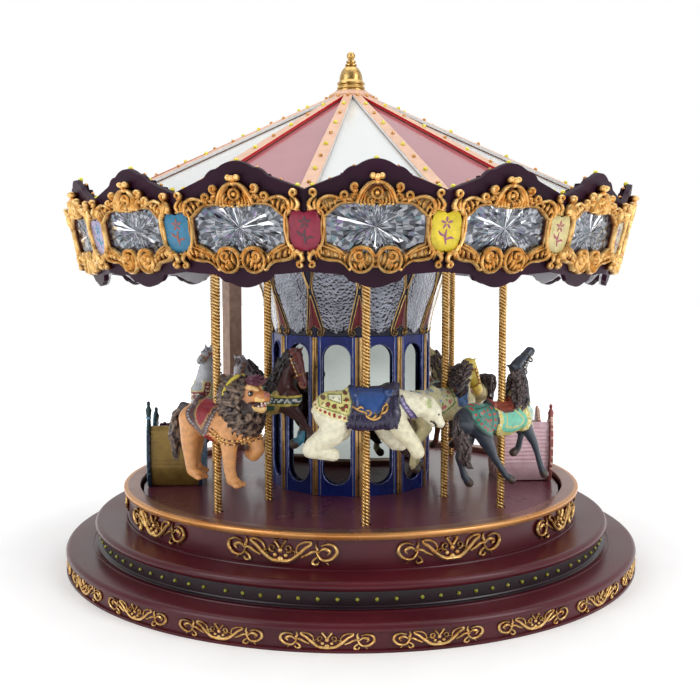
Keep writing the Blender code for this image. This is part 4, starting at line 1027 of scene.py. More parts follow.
# %% Mirror and enamel
# Silvered glass: perfectly smooth metal under glass, a touch darker than white.
MIRROR = coating("silvered_mirror_glass", ("7C817E", "8C918D"), 30.0, (0.01, 0.03), 0.002, 9.0, Metallic=1.0)
# Blue enamel on pressed metal: deep, saturated, with sharp highlights.
BLUE_ENAMEL = coating("arcade_blue_enamel", ("101C60", "182A7C"), 12.0, (0.24, 0.34), 0.02, 1.2,
                      Specular_IOR_Level=0.22)
# The crown's ground: blue-black enamel.
NIGHT_ENAMEL = coating("crown_blue_black_enamel", ("0E1024", "171A34"), 8.0, (0.28, 0.38), 0.02, 1.0,
                       Specular_IOR_Level=0.2)
# Bronze-gold paint on the pilaster strips and thin lines.
STRIP_GOLD = coating("pilaster_bronze_gold_paint", ("A07A46", "D0AA70"), 6.0, (0.25, 0.35), 0.02, 0.8, Metallic=0.8)
redress(["mirror_drum"], MIRROR)
redress(["core_crown"], NIGHT_ENAMEL)

FACETS = 12
FACET_STEP, HALF_FACET = 30, 15
CORE_JOINT = 5.0
CORE_R = 57.0
ARCADE_FACE = CORE_R * math.cos(math.radians(HALF_FACET))
FACET_HALF = CORE_R * math.sin(math.radians(HALF_FACET))
ARCADE_MIDDLE, ARCADE_HALF = 102.2, 53.8
WINDOW_HALF, WINDOW_FOOT, WINDOW_TOP = 9.8, 56, 151


def on_arcade(facet, x, height, out):
    """Place of a point x across a facet of the arcade, height above the deck and out from its face."""
    bearing = CORE_JOINT + HALF_FACET + FACET_STEP * facet
    return (outward(bearing) * (ARCADE_FACE + out) + along(bearing) * x + Vector((0, 0, height))) * MM


# %% Arcade panels with round-ended windows
def window_edge(angle):
    """A point of the window's outline: half circles above and below straight sides."""
    x, z = WINDOW_HALF * math.cos(angle), WINDOW_HALF * math.sin(angle)
    return x, z + (WINDOW_TOP - WINDOW_HALF if z >= 0.0 else WINDOW_FOOT + WINDOW_HALF)


bm = bmesh.new()
rims = bmesh.new()
for facet in range(FACETS):
    inner = bmesh.ops.create_circle(bm, cap_ends=False, segments=48, radius=1.0)["verts"]
    outer = bmesh.ops.create_circle(bm, cap_ends=False, segments=48, radius=1.0)["verts"]
    for vert in inner:
        x, z = window_edge(math.atan2(vert.co.y, vert.co.x) + 1e-4)
        vert.co = on_arcade(facet, x, z, 0.0)
    for vert in outer:
        reach = max(abs(vert.co.x), abs(vert.co.y))
        vert.co = on_arcade(facet, vert.co.x / reach * FACET_HALF, ARCADE_MIDDLE + vert.co.y / reach * ARCADE_HALF,
                            0.0)
    loops = list({edge for vert in inner + outer for edge in vert.link_edges})
    bmesh.ops.bridge_loops(bm, edges=loops)
    line = [window_edge(2 * math.pi * (step + 0.5) / 48) for step in range(48)]
    line.append(line[0])
    strand = bmesh.new()
    strand_into(strand, line, (0.45, 0.45, 0.45), 0.8, 0.0, 6)
    bent = repeated(design_mesh(strand, "window_rim"), [lambda x, y, z, k=facet: on_arcade(k, x, z, y)])
    rims.from_mesh(design_mesh(bent, "window_rim"))
bmesh.ops.remove_doubles(bm, verts=bm.verts, dist=0.01 * MM)
bmesh.ops.recalc_face_normals(bm, faces=bm.faces)
bmesh.ops.solidify(bm, geom=bm.faces[:], thickness=1.2 * MM)
finish_piece(bm, "arcade_panels", "turntable", "blue", [BLUE_ENAMEL], ("arcade",), sharp=25.0)
# Pressed rims with worn silver paint round the windows.
RIM_SILVER = coating("window_rim_silver_blue_paint", ("3A4490", "8E96C0"), 3.0, (0.2, 0.3), 0.02, 0.6, Metallic=0.5)
finish_piece(rims, "window_rims", "turntable", "blue", [RIM_SILVER], sharp=60.0)

# %% Pilaster strips
STRIP_TALL = 106.8
bm = bmesh.new()
for joint in range(FACETS):
    for side in (-1, 1):
        facet = CORE_JOINT + FACET_STEP * joint + HALF_FACET * side
        for across, width, out in ((1.05, 0.95, 0.9), (2.9, 0.45, 0.5), (3.75, 0.3, 0.6)):
            x = -side * (FACET_HALF - across)
            middle = outward(facet) * (ARCADE_FACE + out / 2) + along(facet) * x + Vector((0, 0, ARCADE_MIDDLE))
            shape = (Matrix.Translation(middle * MM) @ Matrix.Rotation(math.radians(facet), 4, "Z")
                     @ Matrix.Diagonal((width * 2 * MM, out * MM, STRIP_TALL * MM, 1)))
            bmesh.ops.create_cube(bm, size=1.0, matrix=shape)
            if across > 2:
                for face in bm.faces[-6:]:
                    face.material_index = 1 if across < 3 else 2
bmesh.ops.bevel(bm, geom=bm.edges[:], offset=0.2 * MM, segments=2, profile=0.5, affect="EDGES", material=-1)
# Brighter blue and silver lines that edge the strips, drawn with a fine brush.
EDGE_BLUE = coating("pilaster_edge_blue_enamel", ("22409A", "2E54B8"), 6.0, (0.3, 0.4), 0.02, 0.8)
EDGE_SILVER = coating("pilaster_edge_silver_paint", ("7E84A0", "B0B4C8"), 5.0, (0.3, 0.4), 0.02, 0.6, Metallic=0.5)
finish_piece(bm, "gilt_pilasters", "turntable", "gold", [STRIP_GOLD, EDGE_BLUE, EDGE_SILVER], sharp=30.0)

# %% [markdown]
# ## The flared crown
# Above the arcade the core flares to the ceiling. Each facet holds a tall pane of hammered glass, round at
# the foot; each joint carries a long red triangle in a gold outline that stands on two curled rosettes. A
# pane is a grid that is pulled to its outline. The hammer marks are a cell pattern in the bump.

# %% Hammered glass
def hammered_glass():
    """Hammered glass over foil: a dense field of small round dents, each with its own highlight."""
    material = coating("hammered_glass_on_foil", ("3E404A", "6A6C78"), 12.0, (0.03, 0.10), 0.05, 1.0,
                       Metallic=0.8, Coat_Weight=1.0, Coat_Roughness=0.02)
    tree = material.node_tree
    shader = tree.nodes["Principled BSDF"]
    where = add_node(tree, "ShaderNodeTexCoord").outputs["Object"]
    dents = add_node(tree, "ShaderNodeTexVoronoi", {"feature": "SMOOTH_F1"},
                     {"Vector": where, "Scale": 1000.0 / 1.9, "Smoothness": 0.2})
    bump = add_node(tree, "ShaderNodeBump", inputs={"Height": dents.outputs["Distance"], "Distance": 0.8 * MM,
                                                    "Strength": 0.5})
    tree.links.new(bump.outputs["Normal"], shader.inputs["Normal"])
    tree.links.new(bump.outputs["Normal"], shader.inputs["Coat Normal"])
    return material


HAMMERED = hammered_glass()
CROWN_LOW, CROWN_HIGH, CROWN_FLARE = 156.3, 204.2, 13
PANE_FOOT, PANE_TALL = 1.5, 45.6


def crown_radius(height):
    share = min(1.0, max(0.0, (height - CROWN_LOW) / (CROWN_HIGH - CROWN_LOW)))
    return CORE_R + CROWN_FLARE * share ** 1.4


def on_crown(facet, x, height, out):
    """Place of a point x across a facet of the crown, height above its foot and out from its face."""
    bearing = CORE_JOINT + HALF_FACET + FACET_STEP * facet
    reach = crown_radius(CROWN_LOW + height) * math.cos(math.radians(HALF_FACET)) + out
    return (outward(bearing) * reach + along(bearing) * x + Vector((0, 0, CROWN_LOW + height))) * MM


def crown_half_width(height):
    return crown_radius(CROWN_LOW + height) * math.sin(math.radians(HALF_FACET))


def pane_half_width(height):
    """Half width of a pane: a round foot, straight flaring sides and drawn-in shoulders."""
    foot = max(0.0, 1.0 - max(0.0, (9.0 - height) / 7.6) ** 2.2) ** 0.5
    body = 8.2 + 6.4 * min(1.0, height / 34.0)
    shoulder = 3.6 * max(0.0, (height - 34.0) / 13.0) ** 1.6
    return body * foot - shoulder


bm = bmesh.new()
for facet in range(FACETS):
    made = bmesh.ops.create_grid(bm, x_segments=10, y_segments=24, size=1.0)["verts"]
    for vert in made:
        height = PANE_FOOT + (vert.co.y + 1.0) / 2.0 * PANE_TALL
        crown = 0.9 * (1.0 - vert.co.x ** 2)
        vert.co = on_crown(facet, vert.co.x * max(0.3, pane_half_width(height)), height, 0.3 + crown)
finish_piece(bm, "hammered_panes", "turntable", "crystal", [HAMMERED], sharp=60.0)

# %% Triangles, lines and rosettes
# Red enamel of the triangles.
RED_ENAMEL = coating("triangle_red_enamel", ("54121A", "701C24"), 6.0, (0.28, 0.38), 0.02, 1.0,
                     Specular_IOR_Level=0.22)
bm = bmesh.new()
for path, width in (([(0, 27.2), (2.4, 14.6), (4.9, 4)], 0.45), ([(4.9, 4), (2.4, 5.4), (0, 7.2)], 0.4),
                    ([(6.8, 3), (4.9, 12.6), (2.7, 24), (1.5, 29.6), (2, 34.6), (4.2, 42), (6, 47)], 0.4),
                    ([(0, 31.6), (1, 34.6), (2.6, 40), (3.6, 47)], 0.35)):
    strand_into(bm, smooth_path(path, 3), (width, width, width), 0.8, 0.2, 5)
strand_into(bm, curl(3.9, 2.2, 2.7, 0.4, 30.0, -1.5, 20), (0.42, 0.42, 0.5), 1.3, 0.2, 6)
outline = carved_design(bm, "joint_lines", 1.4)


def by_joint(joint, side):
    """Places a half design beside a joint; side 1 is on the facet after it."""
    facet = joint if side > 0 else joint - 1

    def place(x, y, z):
        return on_crown(facet, -side * (crown_half_width(z) - x), z, y)
    return place


places = [by_joint(joint, side) for joint in range(FACETS) for side in (1, -1)]
# Gold paint of the lines, with painted shade in their hollows.
LINE_GOLD = wiped_gold("crown_line_gold_paint", "3A2414", "A8844C", "D6B47C", 0.7, (0.28, 0.4))
finish_piece(repeated(outline, places), "crown_gold_lines", "turntable", "gold", [LINE_GOLD], sharp=60.0)
half_triangle = [(0, 26.6), (0, 17), (0, 7.2), (2.4, 5.4), (4.7, 4.2), (2.3, 15)]
bm = bmesh.new()
for place in places:
    bm.faces.new([bm.verts.new(place(x, 0.5, z)) for x, z in half_triangle])
bmesh.ops.recalc_face_normals(bm, faces=bm.faces)
bmesh.ops.solidify(bm, geom=bm.faces[:], thickness=0.3 * MM)
finish_piece(bm, "red_triangles", "turntable", "crystal", [RED_ENAMEL], sharp=20.0)

# %% [markdown]
# ## Twisted poles
# Each pole is a brass tube rolled into a rope: three strands that wind round the axis and leave a groove
# every two millimetres. A ring with three lobes that is spun while it rises makes exactly that, and the
# finish only adds painted shade, dark brown, between the strands.

# %% One pole
ROPE_CORE, ROPE_SWELL = 1.95, 0.65
ROPE_TALL, ROPE_PITCH, ROPE_STEPS = 187.5, 6.2, 450


def rope_design():
    bm = bmesh.new()
    bmesh.ops.create_circle(bm, cap_ends=False, segments=12, radius=1.0)
    for vert in bm.verts:
        angle = math.atan2(vert.co.y, vert.co.x)
        lobe = abs(math.cos(1.5 * angle))
        vert.co = Vector((math.cos(angle), math.sin(angle), 0)) * (ROPE_CORE + ROPE_SWELL * lobe ** 0.8)
    turns = ROPE_TALL / ROPE_PITCH
    bmesh.ops.spin(bm, geom=bm.verts[:] + bm.edges[:], cent=(0, 0, 0), axis=(0, 0, 1),
                   dvec=(0, 0, ROPE_TALL / ROPE_STEPS), angle=-2 * math.pi * turns, steps=ROPE_STEPS, use_merge=False)
    bmesh.ops.holes_fill(bm, edges=[edge for edge in bm.edges if edge.is_boundary], sides=0)
    bmesh.ops.recalc_face_normals(bm, faces=bm.faces)
    layer = bm.loops.layers.uv.new("relief")
    for face in bm.faces:
        for loop in face.loops:
            reach = math.hypot(loop.vert.co.x, loop.vert.co.y)
            loop[layer].uv = (loop.vert.co.z / 200.0, (reach - ROPE_CORE) / ROPE_SWELL)
    return design_mesh(bm, "rope_pole")


# Brass tube, rolled and lacquered: bright strands, with the grooves painted brown as painted shade.
TWISTED_BRASS = wiped_gold("twisted_brass_lacquered", "64380F", "C08C44", "F2CC88", 0.75, (0.22, 0.32))
rope = rope_design()
# Each figure's place: the radius and bearing of its pole, the height of its own ground over the deck and the
# turn of its body. The last word is its slot.
OUTER_RING, INNER_RING = 127, 83
FIGURES = {
    "lion": (OUTER_RING, -41, 9.5, 10, "lion_paint"), "polar_bear": (OUTER_RING, 4, 35, 0, "bear_paint"),
    "black_horse": (OUTER_RING, 49, 8.5, -17, "black_paint"), "pink_horse": (OUTER_RING, 139, 6, 0, "cream_paint"),
    "chestnut_horse": (OUTER_RING, 184, 3, 0, "brown_paint"), "grey_horse": (OUTER_RING, -121, 8, 0, "grey_paint"),
    "brown_horse": (INNER_RING, -41, 19, 10, "brown_paint"), "cream_horse": (INNER_RING, 49, 13, -15, "cream_paint"),
    "bay_horse": (INNER_RING, 139, 7, 0, "brown_paint"), "white_horse": (INNER_RING, -128, 5, 0, "grey_paint"),
}
POLE_FOOT = 31.0
for figure, (radius, bearing, *_) in FIGURES.items():
    foot = (outward(bearing) * radius + Vector((0, 0, POLE_FOOT))) * MM
    bm = repeated(rope, [lambda x, y, z: foot + Vector((x, y, z)) * MM])
    finish_piece(bm, "twisted_pole_" + figure, figure + "_rider", "brass", [TWISTED_BRASS], (figure + "_pole",),
                 sharp=70.0)

# %% Rear post
redress(["rear_post"], POST_WOOD)

# %% [markdown]
# ## Modelling an animal
# The figures are resin casts from models in clay. A modeller would start with a wire frame, press sausages of
# clay along it and smooth them into one skin, and the same steps work here: tapered limbs along chains of
# points, a voxel remesh that melts them into one closed skin, and a little smoothing. Horses, lion and bear
# only differ in their chains.

# %% Limbs melted into a skin
def limbs_into(bm, chain):
    """Round-ended tapered limbs along (x, y, z, radius) points in millimetres."""
    for start, end in zip(chain, chain[1:]):
        a, b = Vector(start[:3]), Vector(end[:3])
        axis = b - a
        turn = axis.to_track_quat("Z", "Y").to_matrix().to_4x4()
        bmesh.ops.create_cone(bm, cap_ends=True, segments=20, radius1=start[3], radius2=end[3],
                              depth=axis.length, matrix=Matrix.Translation((a + b) / 2) @ turn)
    for x, y, z, radius in chain:
        bmesh.ops.create_icosphere(bm, subdivisions=3, radius=radius, matrix=Matrix.Translation((x, y, z)))


def modelled_skin(chains, voxel):
    """One smooth closed mesh in millimetres round all the chains."""
    bm = bmesh.new()
    for chain in chains.values():
        limbs_into(bm, chain)
    rough = bpy.data.objects.new("clay", design_mesh(bm, "clay"))
    scene.collection.objects.link(rough)
    melt = rough.modifiers.new("melt", "REMESH")
    melt.mode = "VOXEL"
    melt.voxel_size = voxel
    relax = rough.modifiers.new("relax", "SMOOTH")
    relax.factor = 0.5
    relax.iterations = round(2.2 / voxel)
    skin = bpy.data.meshes.new_from_object(rough.evaluated_get(bpy.context.evaluated_depsgraph_get()))
    bpy.data.objects.remove(rough)
    return skin


def both_sides(chains):
    """Adds a mirrored copy for every chain whose name ends in _l."""
    whole = dict(chains)
    for name, chain in chains.items():
        if name.endswith("_l"):
            whole[name[:-1] + "r"] = [(x, -y, z, radius) for x, y, z, radius in chain]
    return whole


def limb_at(points, chains):
    """For each point, the name of the chain whose surface is nearest."""
    best = np.full(len(points), 1e9)
    owner = np.zeros(len(points), dtype=int)
    names = list(chains)
    for number, name in enumerate(names):
        for start, end in zip(chains[name], chains[name][1:]):
            a, b = np.array(start[:3]), np.array(end[:3])
            share = np.clip((points - a) @ (b - a) / max(1e-6, (b - a) @ (b - a)), 0.0, 1.0)
            gap = np.linalg.norm(points - a - share[:, None] * (b - a), axis=1) - (start[3] + share
                                                                                   * (end[3] - start[3]))
            nearer = gap < best
            best[nearer] = gap[nearer]
            owner[nearer] = number
    return np.array(names)[owner]


# %% [markdown]
# ## Painting an animal
# A painter blocks in the coat, then lays cloths and straps over it, and last adds borders and dots. Here a
# cloth is an outline in side view. Points inside it are lifted a little, so the cloth has real thickness, and
# are coloured by their distance from its edge, which gives borders that follow the outline.

# %% Cloths and coats
def inside_outline(points, outline):
    """Distance in from the edge of a side-view outline (negative outside) and the place along the edge."""
    x, z = points[:, 0], points[:, 2]
    inside = np.zeros(len(points), dtype=bool)
    gap = np.full(len(points), 1e9)
    place = np.zeros(len(points))
    travelled = 0.0
    for (x0, z0), (x1, z1) in zip(outline, outline[1:] + outline[:1]):
        if abs(z1 - z0) > 1e-9:
            inside ^= ((z0 > z) != (z1 > z)) & (x < (x1 - x0) * (z - z0) / (z1 - z0) + x0)
        length = math.hypot(x1 - x0, z1 - z0)
        share = np.clip(((x - x0) * (x1 - x0) + (z - z0) * (z1 - z0)) / max(1e-6, length ** 2), 0.0, 1.0)
        away = np.hypot(x - x0 - share * (x1 - x0), z - z0 - share * (z1 - z0))
        nearer = away < gap
        gap[nearer] = away[nearer]
        place[nearer] = travelled + share[nearer] * length
        travelled += length
    return np.where(inside, gap, -gap), place


def painted(points, chains, coat, cloths):
    """Colours (linear) and lift in mm for points. coat maps a chain name start to a hex colour; a cloth is
    (outline, parts, lift, rings, dots): rings are (distance in, hex), dots (distance in, spacing, radius, hex)."""
    owner = limb_at(points, chains)
    colours = np.tile(np.array(linear(coat[""])[:3]), (len(points), 1))
    lift = np.zeros(len(points))
    for start, colour in coat.items():
        if start:
            colours[np.char.startswith(owner, start)] = linear(colour)[:3]
    for outline, parts, raised, rings, dots in cloths:
        depth_in, place = inside_outline(points, outline)
        worn = np.zeros(len(points), dtype=bool)
        for part in parts:
            worn |= np.char.startswith(owner, part)
        worn &= depth_in > 0.0
        for distance, colour in rings:
            colours[worn & (depth_in > distance)] = linear(colour)[:3]
        for distance, spacing, radius, colour in dots:
            near = np.hypot((place % spacing) - spacing / 2.0, depth_in - distance) < radius
            colours[worn & near] = linear(colour)[:3]
        lift[worn] += raised
    return colours, lift


def animal_paint(name, shine):
    """Acrylic paint on a resin cast: the painted colours, painted shade that darkens the creases towards dark brown,
    satin gloss.
    """
    material = coating(name, ("D6D6D6", "FFFFFF"), 3.0, shine, 0.10, 0.7, (0.35, 0.65), Coat_Weight=0.2)
    tree = material.node_tree
    base = tree.nodes["Principled BSDF"].inputs["Base Color"]
    brush = add_node(tree, "ShaderNodeAttribute", {"attribute_name": "paint"})
    laid = add_node(tree, "ShaderNodeMix", {"data_type": "RGBA", "blend_type": "MULTIPLY"},
                    {0: 0.7, 6: brush.outputs["Color"], 7: base.links[0].from_socket})
    tree.links.new(laid.outputs[2], base)
    # Painted shade: creases turn dark brown.
    crease = add_node(tree, "ShaderNodeNewGeometry")
    open_share = add_node(tree, "ShaderNodeMapRange", inputs={
        "Value": crease.outputs["Pointiness"], "From Min": 0.40, "From Max": 0.50, "To Min": 0.35, "To Max": 1.0})
    return blended(material, open_share.outputs["Result"], "2A1A12")


ANIMAL_PAINT = animal_paint("animal_acrylic_satin_paint", (0.32, 0.45))


DECK_Z = 48.5


def place_of(figure):
    """The matrix that carries a figure from its own millimetres to its place on the carousel."""
    radius, bearing, lift, yaw, _ = FIGURES[figure]
    spot = (outward(bearing) * radius + Vector((0, 0, DECK_Z + lift))) * MM
    return Matrix.Translation(spot) @ Matrix.Rotation(math.radians(bearing + yaw), 4, "Z") @ Matrix.Scale(MM, 4)


def cast_animal(name, chains, coat, cloths, voxel=0.68):
    """The painted skin of one figure, on the body that rises with its pole."""
    skin = modelled_skin(chains, voxel)
    points = np.empty(len(skin.vertices) * 3)
    skin.vertices.foreach_get("co", points)
    points = points.reshape(-1, 3)
    normals = np.empty(len(skin.vertices) * 3)
    skin.vertices.foreach_get("normal", normals)
    centres = np.empty(len(skin.polygons) * 3)
    skin.polygons.foreach_get("center", centres)
    colours, _ = painted(centres.reshape(-1, 3), chains, coat, cloths)
    _, lift = painted(points, chains, coat, cloths)
    skin.vertices.foreach_set("co", (points + normals.reshape(-1, 3) * lift[:, None]).ravel())
    totals = np.empty(len(skin.polygons), dtype=int)
    skin.polygons.foreach_get("loop_total", totals)
    layer = skin.color_attributes.new("paint", "FLOAT_COLOR", "CORNER")
    corners = np.repeat(np.column_stack([colours, np.ones(len(colours))]), totals, axis=0)
    layer.data.foreach_set("color", corners.ravel())
    bm = bmesh.new()
    bm.from_mesh(skin)
    surface = BVHTree.FromBMesh(bm)
    bmesh.ops.transform(bm, matrix=place_of(name), verts=bm.verts)
    finish_piece(bm, name + "_cast", name + "_rider", FIGURES[name][-1], [ANIMAL_PAINT], (name,), sharp=180.0)
    return surface


def against_skin(surface, x, z, side, proud=0.0):
    """The point where a pin pushed in from the side at (x, z) meets the skin, a little proud of it."""
    hit = surface.ray_cast(Vector((x, 40.0 * side, z)), Vector((0, -side, 0)))[0]
    return hit + Vector((0, side * proud, 0)) if hit else None


def studs_along(bm, surface, line, spacing, radius, material_index=0, proud=0.2):
    """Round studs on both sides of the skin along a line of (x, z) points, an even spacing apart."""
    dense = smooth_path(line, 12)
    for side in (-1, 1):
        travelled = 0.0
        for before, point in zip(dense, dense[1:]):
            travelled += math.dist(before, point)
            if travelled >= spacing:
                travelled -= spacing
                spot = against_skin(surface, point[0], point[1], side, proud)
                if spot:
                    drops_into(bm, [spot], radius, material_index, 1)


def cord_along(bm, surface, line, radii, proud=0.1, sides=5):
    """A raised cord on both sides of the skin along a line of (x, z) points."""
    for side in (-1, 1):
        spots = [against_skin(surface, x, z, side, proud) for x, z in smooth_path(line, 4)]
        spots = [spot for spot in spots if spot]
        if len(spots) > 2:
            lock_into(bm, spots, radii, sides)


# %% [markdown]
# ## Hair
# Manes and tails are modelled as locks: thick where they grow, waved, and pointed at the tip. Each lock is a
# small ring extruded along its own path. Many locks over a painted neck read as carved hair, and they catch
# the light one by one as the real grooves do.

# %% Locks of hair
def lock_into(bm, path, radii, sides=5):
    """A tapered lock along a path of points in space; radii at its start, middle and end."""
    last = len(path) - 1
    frames = []
    for i, point in enumerate(path):
        here = Vector(point)
        ahead = (Vector(path[min(i + 1, last)]) - Vector(path[max(i - 1, 0)])).normalized()
        side = ahead.cross(Vector((0, 0.3, 1))).normalized()
        over = side.cross(ahead)
        width = width_at(radii, 2.0 * i / last)
        frames.append(Matrix(((side.x * width, over.x * width, ahead.x, here.x),
                              (side.y * width, over.y * width, ahead.y, here.y),
                              (side.z * width, over.z * width, ahead.z, here.z),
                              (0, 0, 0, 1))))
    swept_into(bm, frames, sides)


def waved(start, flow, wave, length, turns, height, count=8):
    """A path from a start along a flow direction that waves sideways."""
    start, flow, wave = Vector(start), Vector(flow).normalized(), Vector(wave).normalized()
    return [start + flow * (length * i / count) + wave * (height * math.sin(2 * math.pi * turns * i / count))
            for i in range(count + 1)]


def hair_finish(name, dark, light, drift=1.3):
    """Hair carved in the cast: brown paint in a dark and a light tone that change at random, the light one as painted
    highlights.
    """
    return coating(name, (dark, light), drift, (0.30, 0.45), 0.12, 0.5, (0.42, 0.62))


def neck_locks(bm, neck, seed, count, length, hang):
    """Locks that fall from the crest of a neck chain to both sides, mostly the outer one."""
    dice = random.Random(seed)
    for i in range(count):
        share = i / (count - 1) * (len(neck) - 1)
        number = min(int(share), len(neck) - 2)
        part = share - number
        a, b = neck[number], neck[number + 1]
        middle = Vector(a[:3]).lerp(Vector(b[:3]), part)
        radius = a[3] + (b[3] - a[3]) * part
        run = (Vector(b[:3]) - Vector(a[:3])).normalized()
        crest = Vector((-run.z, 0, run.x))
        side = -1.0 if i % 3 else 1.0
        for row in range(4):
            turn = math.radians(8 + 30 * row + dice.uniform(-7, 7))
            root = middle + (crest * math.cos(turn) + Vector((0, side * math.sin(turn), 0))) * (radius * 1.06)
            flow = Vector((hang[0] + dice.uniform(-0.3, 0.3), side * (0.75 - 0.28 * row), hang[1]
                           + dice.uniform(-0.2, 0.2)))
            wave = run if (i + row) % 2 else crest + run
            lock_into(bm, waved(root, flow, wave, length * dice.uniform(0.75, 1.15), 1.35, 1.15), (1.35, 1.2, 0.3))


def tail_locks(bm, path, seed, count, spread_mm):
    """Locks that follow a tail's path side by side."""
    dice = random.Random(seed)
    for i in range(count):
        angle = 2 * math.pi * i / count
        reach = spread_mm * dice.uniform(0.45, 1.0)
        line = []
        for step, (x, z) in enumerate(smooth_path(path, 4)):
            share = step / (4 * (len(path) - 1))
            swell = reach * math.sin(math.pi * min(1.0, 0.12 + share * 0.85)) + 0.3
            wave = 1.2 * math.sin(14.0 * share + i * 1.7)
            line.append((x + swell * math.cos(angle) + wave, swell * math.sin(angle) * 0.9, z))
        lock_into(bm, line, (1, 1.6, 0.35))


def finish_in_place(bm, name, figure, materials, sharp=60.0):
    """Something modelled on a figure, as a piece that rises with it."""
    bmesh.ops.transform(bm, matrix=place_of(figure), verts=bm.verts)
    finish_piece(bm, name, figure + "_rider", FIGURES[figure][-1], materials, sharp=sharp)


def drops_into(bm, places, radius, material_index=0, detail=2):
    """Small round beads, eyes and studs at places in millimetres."""
    beads_into(bm, places, radius, material_index, detail, 1.0)


# Hair colours: nearly black brown, warm brown and grey.
DARK_HAIR = hair_finish("dark_brown_carved_hair", "241A1A", "6A5450")
LION_HAIR = hair_finish("lion_mane_carved_hair", "2A1E1E", "86705F", 3.0)
BLACK_HAIR = hair_finish("black_horse_carved_hair", "2A2024", "70605E")
SOOT_HAIR = hair_finish("brown_horse_soot_hair", "181416", "40363A")
GREY_HAIR = hair_finish("grey_carved_hair", "6E7078", "B9BBC2")
# Gloss black of eyes, drawn with a drop of varnish, and a white for teeth and for the painted glints on the eyes.
EYE_BLACK = coating("eye_black_varnish", ("0C0A0A", "171313"), 1.0, (0.08, 0.15), 0.005, 0.3, Coat_Weight=0.6)
GLINT_AND_TEETH_WHITE = coating("white_enamel_glints_and_teeth", ("E6E2D8", "F4F1E8"), 1.0, (0.15, 0.25), 0.005, 0.3)
# Ruby and pearl studs that are glued to the harness.
RUBY_STUD = coating("ruby_glass_stud", ("8E1424", "C02A3A"), 1.0, (0.08, 0.16), 0.01, 0.3, Coat_Weight=0.6)
PEARL_STUD = coating("pearl_bead_stud", ("E2DCC6", "F6F0DC"), 1.0, (0.15, 0.25), 0.01, 0.3, Coat_Weight=0.4)


# %% [markdown]
# ## The horses
# One recipe makes every horse. It fixes the trunk and takes the neck, the head and the legs of each pose, so
# that the black horse can throw its head up while the others arch their necks. The head gets a cheek, a
# straight nose and a muzzle; the legs get knees, hocks and hooves.

# %% Horse recipe
def horse_chains(neck, nose, legs):
    """Chains of a horse. neck is three (x, z) points from withers to poll, nose the tip of the muzzle."""
    poll = Vector((neck[2][0], 0, neck[2][1]))
    tip = Vector((nose[0], 0, nose[1]))
    run = (tip - poll).normalized()
    under = Vector((run.z, 0, -run.x))
    length = (tip - poll).length
    chains = {
        "trunk": [(-29, 0, 49, 8.2), (-22, 0, 50, 9.8), (-10, 0, 48.6, 9.6), (2, 0, 48, 10),
                  (12, 0, 50, 9.2), (17, 0, 50.5, 7.4)],
        "neck": [(12, 0, 53, 8.6), (neck[0][0], 0, neck[0][1], 7.8), (neck[1][0], 0, neck[1][1], 5.8),
                 (neck[2][0], 0, neck[2][1], 4.3)],
        "head": [tuple(poll) + (4.2,), tuple(poll + run * length * 0.30) + (3.9,),
                 tuple(poll + run * length * 0.62) + (2.8,), tuple(poll + run * length * 0.92) + (2.5,)],
        "jaw": [tuple(poll + run * length * 0.16 + under * 2.6) + (3,),
                tuple(poll + run * length * 0.42 + under * 2.2) + (2.3,),
                tuple(poll + run * length * 0.86 + under * 1.6) + (1.6,)],
        "muzzle": [tuple(poll + run * length * 0.90 + under * 0.4) + (2.6,),
                   tuple(poll + run * length * 0.98 + under * 0.8) + (2.2,)],
        "ear_l": [tuple(poll - run * 1.0 + Vector((0, 2.3, 0)) - under * 2.6) + (1.5,),
                  tuple(poll - run * 3.2 + Vector((0, 2.8, 0)) - under * 6.4) + (0.5,)],
    }
    return both_sides({**chains, **legs})


def front_leg(side, shoulder, knee, fetlock, hoof):
    """A front leg from (x, z) joints, on the left (1) or right (-1) side."""
    y = 5.0 * side
    middle = ((shoulder[0] + knee[0]) / 2, (shoulder[1] + knee[1]) / 2)
    return [(shoulder[0], y * 0.9, shoulder[1], 5.2), (middle[0], y, middle[1], 3.5), (knee[0], y, knee[1], 2.5),
            (knee[0] * 0.6 + fetlock[0] * 0.4, y, knee[1] * 0.6 + fetlock[1] * 0.4, 1.9),
            (fetlock[0], y, fetlock[1], 2.1),
            (hoof[0], y, hoof[1], 2.6)]


def hind_leg(side, hip, stifle, hock, fetlock, hoof):
    """A hind leg from (x, z) joints."""
    y = 5.2 * side
    return [(hip[0], y * 0.85, hip[1], 7), (stifle[0], y, stifle[1], 4.9), (hock[0], y, hock[1], 2.6),
            ((hock[0] + fetlock[0]) / 2, y, (hock[1] + fetlock[1]) / 2, 2.1), (fetlock[0], y, fetlock[1], 2.2),
            (hoof[0], y, hoof[1], 2.7)]


LEAP = {
    "fore_near": front_leg(-1, (14, 46), (24, 31), (30, 15), (33, 10)),
    "fore_far": front_leg(1, (14, 45), (22, 37), (19, 27), (15, 24.5)),
    "hind_near": hind_leg(-1, (-23, 48), (-17, 37), (-10.5, 26), (-0.5, 13), (4.5, 9.6)),
    "hind_far": hind_leg(1, (-23, 48), (-24, 36), (-30, 26), (-25.5, 13), (-21.5, 8.6)),
}
REACH = {
    "fore_near": front_leg(-1, (14, 46), (27, 38), (36, 31), (37, 26)),
    "fore_far": front_leg(1, (14, 45), (24, 34), (22, 22), (17, 19)),
    "hind_near": hind_leg(-1, (-23, 48), (-21, 36), (-29, 26), (-31, 13), (-28, 9.5)),
    "hind_far": hind_leg(1, (-23, 48), (-17, 36), (-22, 25), (-20, 13), (-17, 9.5)),
}


